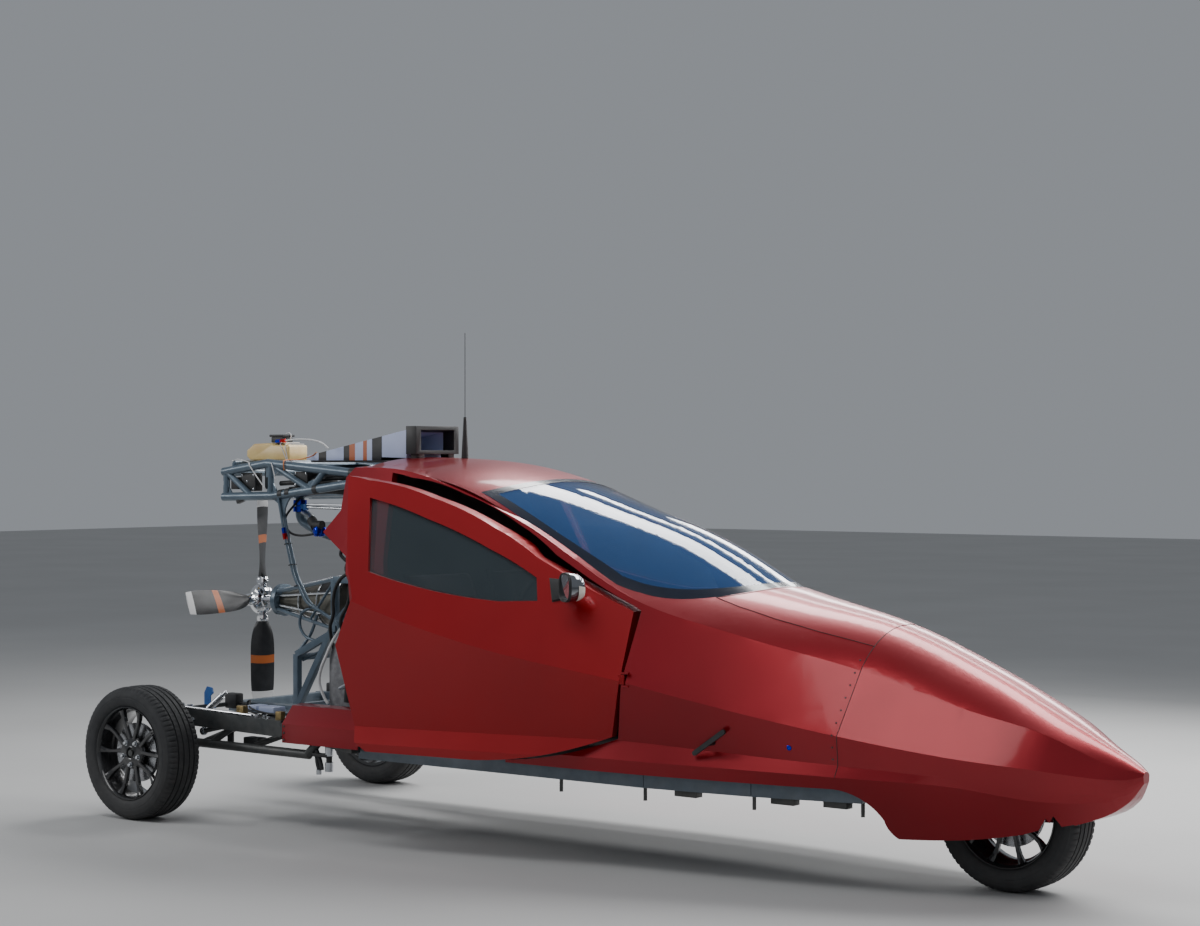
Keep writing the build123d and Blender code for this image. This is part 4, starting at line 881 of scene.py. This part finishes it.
# Boxes, rods and hoses in the upper truss
def build_truss_parts():
    gussets = [((10, 1548), (10, 1622), (40, 1622), (40, 1548)),
               ((0, 1524), (75, 1524), (30, 1580), (0, 1580)),
               ((0, 1600), (30, 1600), (85, 1655), (0, 1645)),
               ((300, 1530), (385, 1533), (350, 1590), (318, 1590)),
               ((300, 1620), (345, 1620), (420, 1672), (300, 1680)),
               ((560, 1560), (660, 1574), (620, 1610), (590, 1600))]
    plates_piece("truss_gussets", [(hand * truss_side - 4, hand * truss_side + 4, points)
                                   for _, hand in hands for points in gussets], frame_paint)
    blocks_piece("truss_switch_boxes", [
        (157, -262, 1596, 100, 50, 88), (157, 262, 1596, 100, 50, 88),
        (75, -285, 1590, 50, 30, 60), (520, -262, 1612, 90, 50, 70)],
        black_plastic, bevel=4)
    bolts_piece("truss_box_screws", [
        (ahead, -287.5, z, (0, -1, 0), 4.5, 3)
        for ahead, z in ((118, 1630), (196, 1630), (118, 1562), (196, 1562), (150, 1600),
                         (485, 1640), (555, 1640), (485, 1586))], bright_steel)
    tubes_piece("truss_canister", [(21, 24, [(241, -225, 1562), (241, -225, 1672)]),
                                   (10, 16, [(241, -225, 1672), (243, -225, 1684)])],
                dark_steel)
    bm = bmesh.new()
    inner, outer = 20.5, 22.5
    for ahead, z, slope in ((406, 1540, 0.11), (455, 1546.5, 0.11), (640, 1564.5, 0.11),
                            (880, 1642.5, -0.05), (900, 1591.5, 0.02)):
        add_lathe(bm, [(inner, -14), (outer, -14), (outer, 14), (inner, 14)],
                  facing((ahead, -truss_side, z), (1, 0, slope)), 28)
    add_box(bm, Matrix.Translation(spot_at(140, -truss_side, 1512)) @ Matrix.Rotation(-0.36, 4, "Y"),
            (85, 26, 20), 4)
    put("truss_bands", bm, black_plastic, root)
    tubes_piece("truss_hoses", [(12.5, 12, points) for points in (
        [(360, -262, 1590), (520, -258, 1600), (700, -262, 1618), (920, -256, 1620),
         (1262, -250, 1615)],
        [(500, -238, 1640), (660, -242, 1628), (840, -240, 1612), (1262, -235, 1606)],
        [(430, -270, 1562), (560, -262, 1572), (740, -266, 1590), (1000, -262, 1592),
         (1262, -262, 1590)])], black_plastic)
    tubes_piece("intake_hose", [(26, 20, [
        (462, -205, 1552), (520, -215, 1560), (640, -225, 1568), (800, -228, 1560),
        (1000, -220, 1545), (1262, -210, 1540)])], seal_rubber)
    tubes_piece("truss_rod", [(6.5, 12, [(509, -240, 1477), (760, -240, 1472),
                                            (1262, -240, 1468)])],
                bright_steel, smooth=False)
    tubes_piece("truss_rod_lower", [(5, 12, [(540, -262, 1490), (1262, -255, 1488)])],
                aluminium)
    blocks_piece("truss_rod_clamps", [(478, -222, 1479, 34, 20, 24),
                                      (508, -240, 1478, 20, 20, 30)], blue_paint)
    tubes_piece("coolant_elbow", [(17.5, 20, [(452, -200, 1453), (470, -204, 1447),
                                                (516, -222, 1432), (560, -246, 1408)])],
                aluminium)
    tubes_piece("coolant_boot", [(24, 24, [(548, -240, 1414), (596, -262, 1386)]),
                                 (22, 24, [(590, -262, 1392), (640, -262, 1392)])],
                seal_rubber)
    bm = bmesh.new()
    add_lathe(bm, [(0, 26), (14, 26), (17, 23), (25, 22), (28.5, 18), (28.5, 6),
                   (26.5, 4), (26.5, -2), (28.5, -4), (28.5, -20), (24, -26),
                   (0, -30)], facing((613, -258, 1365), (-0.35, -0.75, 0.05)), 32)
    put("coolant_cap", bm, blue_anodised, root)
    tubes_piece("vent_hose", [(5.5, 12, [
        (455, -222, 1520), (425, -240, 1482), (398, -262, 1436), (400, -272, 1392),
        (437, -272, 1352), (500, -265, 1340), (590, -258, 1350)])], seal_rubber)
    plates_piece("pipe_gusset", [(-296, -304, (
        (335, 1516), (352, 1512), (385, 1492), (404, 1462), (408, 1430), (424, 1430),
        (430, 1470), (446, 1500), (470, 1528)))], frame_paint)


# Ties, fittings and hoses of the tank, and a black plate under the scoop that is painted shadow
def build_tank_parts():
    bm = bmesh.new()
    near = -177.5
    for top, top_z, low in ((267, 1789, 312), (300, 1781, 318)):
        add_tube(bm, [(top, -45, top_z), (top, near + 10, top_z), (top + 2, near, top_z - 7),
                      (low, near, 1704), (low + 4, near + 30, 1698)], 2.2, 6, smooth=False)
    for radius, points in (
            (3, [(200, -323, 1690), (212, -324.5, 1672), (255, -324.5, 1625),
                      (300, -322.5, 1578), (306, -310, 1560)]),
            (2.6, [(355, -323.5, 1690), (365, -324.5, 1672), (385, -324.5, 1610)]),
            (2.8, [(60, -300, 1700), (120, -310, 1706), (205, -322, 1692)])):
        add_tube(bm, points, radius, 6)
    put("tank_ties", bm, white_tape, root)
    tubes_piece("tank_fitting_blue", [(9.5, 6, [(223, -160, 1795), (256, -160, 1797)])],
                blue_anodised)
    tubes_piece("tank_fitting_red", [(10, 6, [(256, -160, 1797), (286, -160, 1798.5)])], red_anodised)
    tubes_piece("tank_hose", [(4.2, 10, [
        (286, -160, 1798.5), (330, -162, 1802), (400, -165, 1804), (480, -166, 1800),
        (545, -168, 1785), (585, -165, 1760)])], white_tape)
    blocks_piece("tank_cap", [(212, -110, 1803, 80, 70, 28),
                              (212, -110, 1823, 96, 82, 12)],
                 black_plastic, bevel=4)
    tubes_piece("tank_breather", [(2.8, 8, [(262, -100, 1800), (264, -100, 1826),
                                               (254, -100, 1836), (230, -100, 1833)])], white_tape)
    tubes_piece("strap_orange", [(2.8, 8, [
        (470, -129.5, 1741), (440, -135, 1722), (420, -200, 1706), (430, -300, 1703),
        (440, -323.5, 1690), (445, -324.5, 1655)])], orange_tape)
    # Black plate under the scoop: painted shadow, standing in for the shade below the wedge
    blocks_piece("scoop_painted_shadow", [(730, 0, 1696.5, 620, 236, 10)], black_plastic, bevel=2)


# Tubes, hoses and wiring round the engine and the drive housing
def round_drive(ahead, radius, turn):
    """Place round the drive housing's line."""
    return ahead, radius * math.cos(turn), propeller_z + radius * math.sin(turn)


def build_engine_bay():
    ribs = 8
    cage = [(5.5, 8, [round_drive(126, 58, turn), round_drive(628, 158, turn)])
            for turn in (full_turn * (index + 0.5) / ribs for index in range(ribs))]
    cage += [(5, 8, [round_drive(ahead, size, full_turn * k / 32) for k in range(33)])
             for ahead, size in ((300, 86), (460, 122), (628, 160))]
    tubes_piece("drive_cage", cage, bright_steel, smooth=False)
    bm = bmesh.new()
    for index in (1, 2, 5, 6):
        turns = [full_turn * (index + 0.53 + 0.94 * k / 8) / ribs for k in range(9)]
        bridge(bm, [[bm.verts.new(spot_at(*round_drive(ahead, size, turn))) for turn in turns]
                    for ahead, size in ((470, 121.5), (620, 155.5))], closed=False)
    put("drive_panels", bm, black_plastic, root)
    bolts_piece("drive_ring_bolts", [(*round_drive(95, 63, full_turn * index / 10), (-1, 0, 0), 6, 5)
                                     for index in range(10)], bright_steel)
    tubes_piece("tower_braces", [
        (8, 10, [(400, -190, 765), (452, -150, 860), (480, -136, 950)]),
        (7.5, 10, [(500, -196, 990), (430, -190, 960), (415, -188, 900),
                      (450, -188, 850), (520, -190, 830)]),
        (8, 10, [(410, -190, 530), (520, -190, 720)]),
        (8, 10, [(410, 190, 530), (520, 190, 720)]),
        (8, 10, [(412, -170, 730), (640, 170, 905)]),
        (9, 10, [(655, -190, 905), (890, -205, 1010)])], frame_paint)
    tubes_piece("white_hose", [(7.5, 12, [
        (862, -240, 1000), (790, -262, 930), (730, -278, 850), (690, -288, 770),
        (658, -293, 700), (652, -294, 640), (680, -290, 575), (700, -285, 545)])],
        white_tape)
    tubes_piece("engine_wiring", [(8.5, 10, points) for points in (
        [(950, -300, 1310), (905, -345, 1245), (935, -350, 1170), (900, -345, 1090),
         (930, -335, 1000), (900, -300, 880), (880, -270, 836)],
        [(990, -260, 1290), (930, -330, 1270), (885, -352, 1200), (915, -350, 1120),
         (880, -340, 1020), (830, -330, 950), (800, -280, 850)],
        [(900, -335, 1180), (845, -340, 1150), (800, -335, 1100), (775, -325, 1040),
         (765, -315, 970), (730, -300, 915), (715, -275, 850), (720, -262, 800)],
        [(1020, -360, 1230), (960, -380, 1160), (980, -370, 1060), (950, -350, 960),
         (960, -300, 836)],
        [(880, -345, 1230), (850, -352, 1262), (875, -350, 1300), (920, -340, 1285)],
        [(1255, -300, 980), (1120, -320, 960), (1010, -310, 920), (980, -250, 836)])],
        seal_rubber)
    tubes_piece("engine_pipes", [(11, 12, points) for points in (
        [(985, -300, 1080), (1060, -310, 1050), (1255, -300, 1070)],
        [(960, -290, 990), (1040, -300, 1010), (1120, -260, 836)],
        [(760, -262, 620), (840, -272, 640), (960, -268, 600), (1110, -268, 640)])],
        aluminium)
    tubes_piece("engine_damper", [(23, 20, [(835, -283, 560), (846, -283, 700)]),
                                  (8.5, 12, [(846, -283, 700), (852, -283, 800)])],
                seal_rubber)
    blocks_piece("engine_details", [
        (905, 0, 852, 340, 300, 44), (900, 105, 888, 300, 60, 40),
        (900, -105, 888, 300, 60, 40), (1020, 0, 890, 100, 120, 50),
        (675, -120, 700, 20, 110, 110), (675, 120, 640, 20, 120, 120)],
        cast_engine, bevel=10)
    bm = bmesh.new()
    for _, hand in hands:
        for k in range(4):
            add_bolt(bm, (790 + 75 * k, hand * 105, 908), (0, 0, 1), 8, 8)
    add_lathe(bm, [(0, 30), (12, 30), (30, 26), (44, 24), (46, 20), (42, 16),
                   (42, 10), (46, 6), (46, 0)], facing((665, -120, 700), (-1, 0, 0)), 32)
    put("engine_fasteners", bm, bright_steel, root)
    bm = bmesh.new()
    for ahead, z in ((445, 1300), (474, 1200), (510, 1100), (588, 1000)):
        for side in (-286, -307):
            add_tie(bm, (ahead, side, z), (0.25, 0.02, -1), 11.5)
    put("pipe_ties", bm, black_plastic, root)
    tubes_piece("pipe_fitting_blue", [(10.5, 8, [(426.5, -310.5, 1377), (432.5, -310.5, 1350)])],
                blue_anodised)
    tubes_piece("pipe_fitting_red", [(11, 8, [(432.5, -310.5, 1350), (440, -310.5, 1322)])],
                red_anodised)


# Rods, brackets and fasteners on a trailing arm and the tail of its rail, given for the left side
def build_arm_parts(label, hand):
    up, out = (0, 0, 1), (0, 1, 0)
    tubes_piece(f"arm_rod_{label}", [(7.5, 16, [(60, 632, 519.5), (545, 632, 507)])],
                chrome, hand)
    blocks_piece(f"arm_pads_{label}", [(448, 602, 520, 48, 34, 52),
                                       (705, 604, 512, 40, 30, 46)], brass, 6, hand)
    bolts_piece(f"arm_bolts_{label}", [
        (40, 615, 517, up, 16, 18), (85, 603, 514, up, 13, 15),
        (70, 642, 470, out, 13, 12), (150, 642, 462, out, 10, 10),
        (20, 642, 352, out, 13, 12), (560, 615, 500, up, 10, 12),
        (600, 602, 499, up, 10, 12), (640, 618, 498, up, 8, 10)],
        bright_steel, hand)
    link_feet = [(45, 560, 505), (170, 590, 405), (30, 600, 300)]
    tubes_piece(f"arm_links_{label}", [(11, 14, [link_feet[0], (100, 330, 512)]),
                                       (12, 14, [link_feet[1], (420, 325, 480)]),
                                       (15, 14, [link_feet[2], (330, 330, 470)]),
                                       (15, 14, [(520, 590, 360), (760, 330, 480)])],
                dark_steel, hand)
    bm = bmesh.new()
    for (ahead, side, z), size in zip(link_feet, (18, 19, 21)):
        add_lathe(bm, [(size * 0.5, -9), (size, -8), (size * 1.08, 0), (size, 8), (size * 0.5, 9)],
                  facing((ahead, hand * side, z), (1, 0, 0.3)), 24)
    put(f"arm_rod_ends_{label}", bm, bright_steel, root)
    plates_piece(f"arm_bracket_{label}", [(470, 478, (
        (52, 502), (52, 575), (70, 605), (104, 600), (112, 575), (92, 560),
        (92, 525), (130, 502)))], blue_paint, hand)
    tubes_piece(f"arm_cylinder_{label}", [(16, 20, [(105, 500, 500), (170, 470, 565)]),
                                          (9, 14, [(170, 470, 565), (190, 462, 585)])],
                aluminium, hand)
    blocks_piece(f"rail_blocks_{label}", [(125, 350, 530, 80, 52, 74),
                                          (190, 340, 505, 60, 32, 40)],
                 black_plastic, 8, hand)
    blocks_piece(f"rail_boxes_{label}", [(368, 425, 519, 64, 80, 22),
                                         (465, 425, 516, 104, 80, 26)], lavender, 5, hand)
    blocks_piece(f"rail_shelf_{label}", [(430, 400, 501.5, 300, 152, 6)],
                 frame_paint, 1, hand)
    tubes_piece(f"arm_wiring_{label}", [(4.5, 8, points) for points in (
        [(200, 330, 528), (270, 380, 540), (360, 470, 522), (480, 520, 512),
         (640, 560, 510), (760, 560, 512)],
        [(160, 360, 510), (280, 440, 516), (420, 500, 500), (600, 540, 490),
         (740, 560, 490)],
        [(60, 480, 500), (160, 520, 490), (300, 560, 500), (440, 560, 512)])],
        seal_rubber, hand)
    plates_piece(f"knuckle_plate_{label}", [(643.5, 652, (
        (-52, 240), (-62, 300), (-58, 385), (-30, 430), (55, 430), (100, 400),
        (120, 350), (110, 262), (50, 236)))], aluminium, hand)
    blocks_piece(f"lower_plates_{label}", [(325, 560, 396, 38, 12, 80),
                                           (470, 540, 376, 100, 60, 34)],
                 dark_steel, 6, hand)
    jack_side = hand * 612
    bm = bmesh.new()
    for ahead in (965, 985):
        add_tube(bm, [(950, jack_side, 372), (ahead - 12, jack_side, 325), (ahead, jack_side, 284)],
                 10)
    add_box(bm, Matrix.Translation(spot_at(985, jack_side, 352)), (100, 40, 16), 4)
    add_tube(bm, [(1030, jack_side, 350), (1030, jack_side, 320)], 14, 16)
    put(f"jack_fork_{label}", bm, black_plastic, root)
    tubes_piece(f"jack_cylinders_{label}", [
        (size, 20, [(ahead, jack_side, high), (ahead, jack_side, low)]) for ahead, high, low, size in (
            (1030, 392, 352, 19), (1030, 322, 280, 19), (965, 284, 262, 13))],
        aluminium)
    bolts_piece(f"fairing_screws_{label}", [(780, 655, z, out, 4.2, 3) for z in (412, 444, 474)],
                dark_steel, hand)


build_truss_parts()
build_tank_parts()
build_engine_bay()
for label, hand in hands:
    build_arm_parts(label, hand)


# Wheels
tyre_profile = [
    (-78, 209.5), (-82, 221.5), (-88.5, 223.5), (-94, 228), (-99, 240), (-101.8, 254),
    (-102.2, 262), (-101, 263.5), (-101.8, 267), (-100.8, 276), (-98.5, 285), (-96.2, 292.5),
    (-94.2, 294), (-91.5, 300), (-86, 306.5), (-79, 310.5), (-70, 312.5),
    (-64, 313.5), (-61, 313.8),
]
groove_places = (-48, -17, 17, 48)
shoulder_slots = 76
spoke_pairs = 5


def build_tyre(name, centre, body):
    """Road tyre: grooved tread with shoulder slots, and a sidewall with fine rings."""
    rows = list(tyre_profile)
    for place in groove_places:
        crown = 315.5 - 0.0009 * place * place
        rows += [(place - 4.8, crown), (place - 4, crown - 6.5), (place + 4, crown - 6.5),
                 (place + 4.8, crown), (place + 10.5, crown + 0.2)]
    rows += [(-out, radius) for out, radius in reversed(tyre_profile)]
    around = shoulder_slots * 4
    bm = bmesh.new()
    rings = []
    for k in range(around):
        turn = full_turn * k / around
        ring = []
        for out, radius in rows:
            slotted = k % 4 == 0 and 56 < abs(out) < 93.5 and radius > 290
            sipe = k % 4 == 2 and 22 < abs(out) < 43 and radius > 311
            size = radius - (4.2 if slotted else 0) - (3 if sipe else 0)
            ring.append(bm.verts.new(spot_at(*centre + Vector((size * math.sin(turn), out, size * math.cos(turn))))))
        rings.append(ring)
    bridge(bm, rings + rings[:1])
    piece = put(f"{name}_tyre_tread", bm, tyre_rubber, body, angle=30)
    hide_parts(f"{name}_tyre")


def build_rim(name, centre, body, outer):
    """Black rim with five pairs of bowed spokes, a centre cap and wheel nuts; outer is the side it faces."""
    def spot(along, radius, turn):
        return centre + Vector((radius * math.sin(turn), outer * along, radius * math.cos(turn)))

    def round_axle(piece_name, profile, material, sides):
        ring = bmesh.new()
        add_lathe(ring, profile, place, sides)
        return put(piece_name, ring, material, body)

    place = facing(centre, (0, outer, 0))
    bm = bmesh.new()
    add_lathe(bm, [(220.5, 89.5), (216.5, 90), (213.5, 87), (208.5, 78), (204, 64),
                   (202.5, 45), (193, 30), (191.5, -30), (199, -48), (206, -88),
                   (220.5, -89.5), (220.5, -79), (208.5, -77), (207, -50), (199, -33),
                   (199, 30), (207.5, 48), (208.5, 77), (220.5, 79), (220.5, 89.5)],
              place, 96)
    add_lathe(bm, [(0, 58), (26, 58), (26.5, 70), (30, 71.5), (36, 69),
                   (50, 69), (70, 66), (75, 60), (75, 48), (36, 44),
                   (15.5, 44), (15.5, 20)], place, 60)
    stations = [(58, 66, 11, 18), (85, 67, 9.5, 18), (115, 67, 8.5, 18),
                (145, 68, 8.5, 20), (172, 70.5, 9.5, 22), (192, 75, 12.5, 24),
                (206, 79, 16, 22)]
    for pair in range(spoke_pairs):
        for lean in (-1, 1):
            rings = []
            for radius, face, half, depth in stations:
                share = (radius - 58) / 148
                bow = 0.20 + 0.085 * math.sin(share * math.pi * 0.9) + 0.06 * share
                turn = full_turn * pair / spoke_pairs + lean * bow
                rings.append([bm.verts.new(spot_at(*spot(face - drop, radius, turn + half / radius * share_of_half)))
                              for drop, share_of_half in ((depth, -0.8), (3, -1), (0, -0.65), (0, 0.65),
                                                          (3, 1), (depth, 0.8))])
            bridge(bm, rings)
            close_ends(bm, rings)
    piece = put(f"{name}_rim_spokes", bm, rim_black, body, angle=32)
    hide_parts(f"{name}_rim")
    bm = bmesh.new()
    for lug in range(spoke_pairs):
        turn = full_turn * (lug + 0.5) / spoke_pairs
        add_bolt(bm, spot(67.2, 56, turn), (0, outer, 0), radius=9.5, height=15)
    put(f"{name}_wheel_nuts", bm, bright_steel, body)
    round_axle(f"{name}_centre_cap", [(0, 61.5), (18, 61.2), (24, 60), (25.5, 58.5),
                                      (25.5, 50)],
               red_anodised if name == "front" else dark_steel, 40)
    bm = bmesh.new()
    add_tube(bm, [spot(78.5, 199, 1), spot(90, 197.5, 1)], 3.2)
    put(f"{name}_valve", bm, black_plastic, body)
    piece = round_axle(f"{name}_disc_turned", [
        (60, 34), (60, 31.8), (139, 31.8), (140, 30.8), (140, 25), (137, 24.5),
        (137, 17.5), (140, 17), (140, 11.2), (139, 10.2), (36, 10.2), (36, 43),
        (52, 43), (56, 41), (60, 34)], disc_steel, 96)
    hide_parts(f"{name}_brake_disc")


for wheel, ahead, side, outer in (("front", wheelbase, 0, -1), ("rear_left", 0, rear_wheel_side, 1),
                                  ("rear_right", 0, -rear_wheel_side, -1)):
    centre = Vector((ahead, side, tyre_radius))
    build_tyre(wheel, centre, f"{wheel}_wheel")
    build_rim(wheel, centre, f"{wheel}_wheel", outer)


# Propeller hub: polished boss, four blade clamps with bolts, and a stepped nose
def build_hub():
    hub = Vector((propeller_ahead, 0, propeller_z))
    back = (-1, 0, 0)
    blades = 4
    bm = bmesh.new()
    add_lathe(bm, [(0, 47), (18, 46), (22, 42), (22, 38), (46, 36), (62, 31),
                   (75, 18), (77.5, 6), (77.5, -6), (72, -18), (54, -30),
                   (45, -36), (45, -47.5), (19.8, -47.8), (19.8, -120), (0, -120)],
              facing(hub, back), 64)
    for index in range(blades):
        turn = full_turn * index / blades
        outward = Vector((0, math.sin(turn), math.cos(turn)))
        add_lathe(bm, [(20, 0), (28.5, 30), (29.8, 34), (29.8, 48), (27, 50),
                       (27, 56), (29.8, 58), (29.8, 80), (28.5, 83.5), (24, 91.5),
                       (0, 91.5)], facing(hub + outward * 20, outward), 40)
        for fore in (-1, 1):
            add_bolt(bm, hub + Vector((fore * 30, 0, 0)) + outward * 88, (fore, 0, 0), 6, 6)
    piece = put("propeller_boss", bm, chrome, "propeller")
    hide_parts("propeller_hub")
    bm = bmesh.new()
    for index in range(2 * blades):
        turn = full_turn * (index + 0.5) / (2 * blades)
        spot = hub + Vector((-32, 43 * math.sin(turn), 43 * math.cos(turn)))
        add_bolt(bm, spot, back, 5, 6)
    put("propeller_boss_bolts", bm, dark_steel, "propeller")


build_hub()
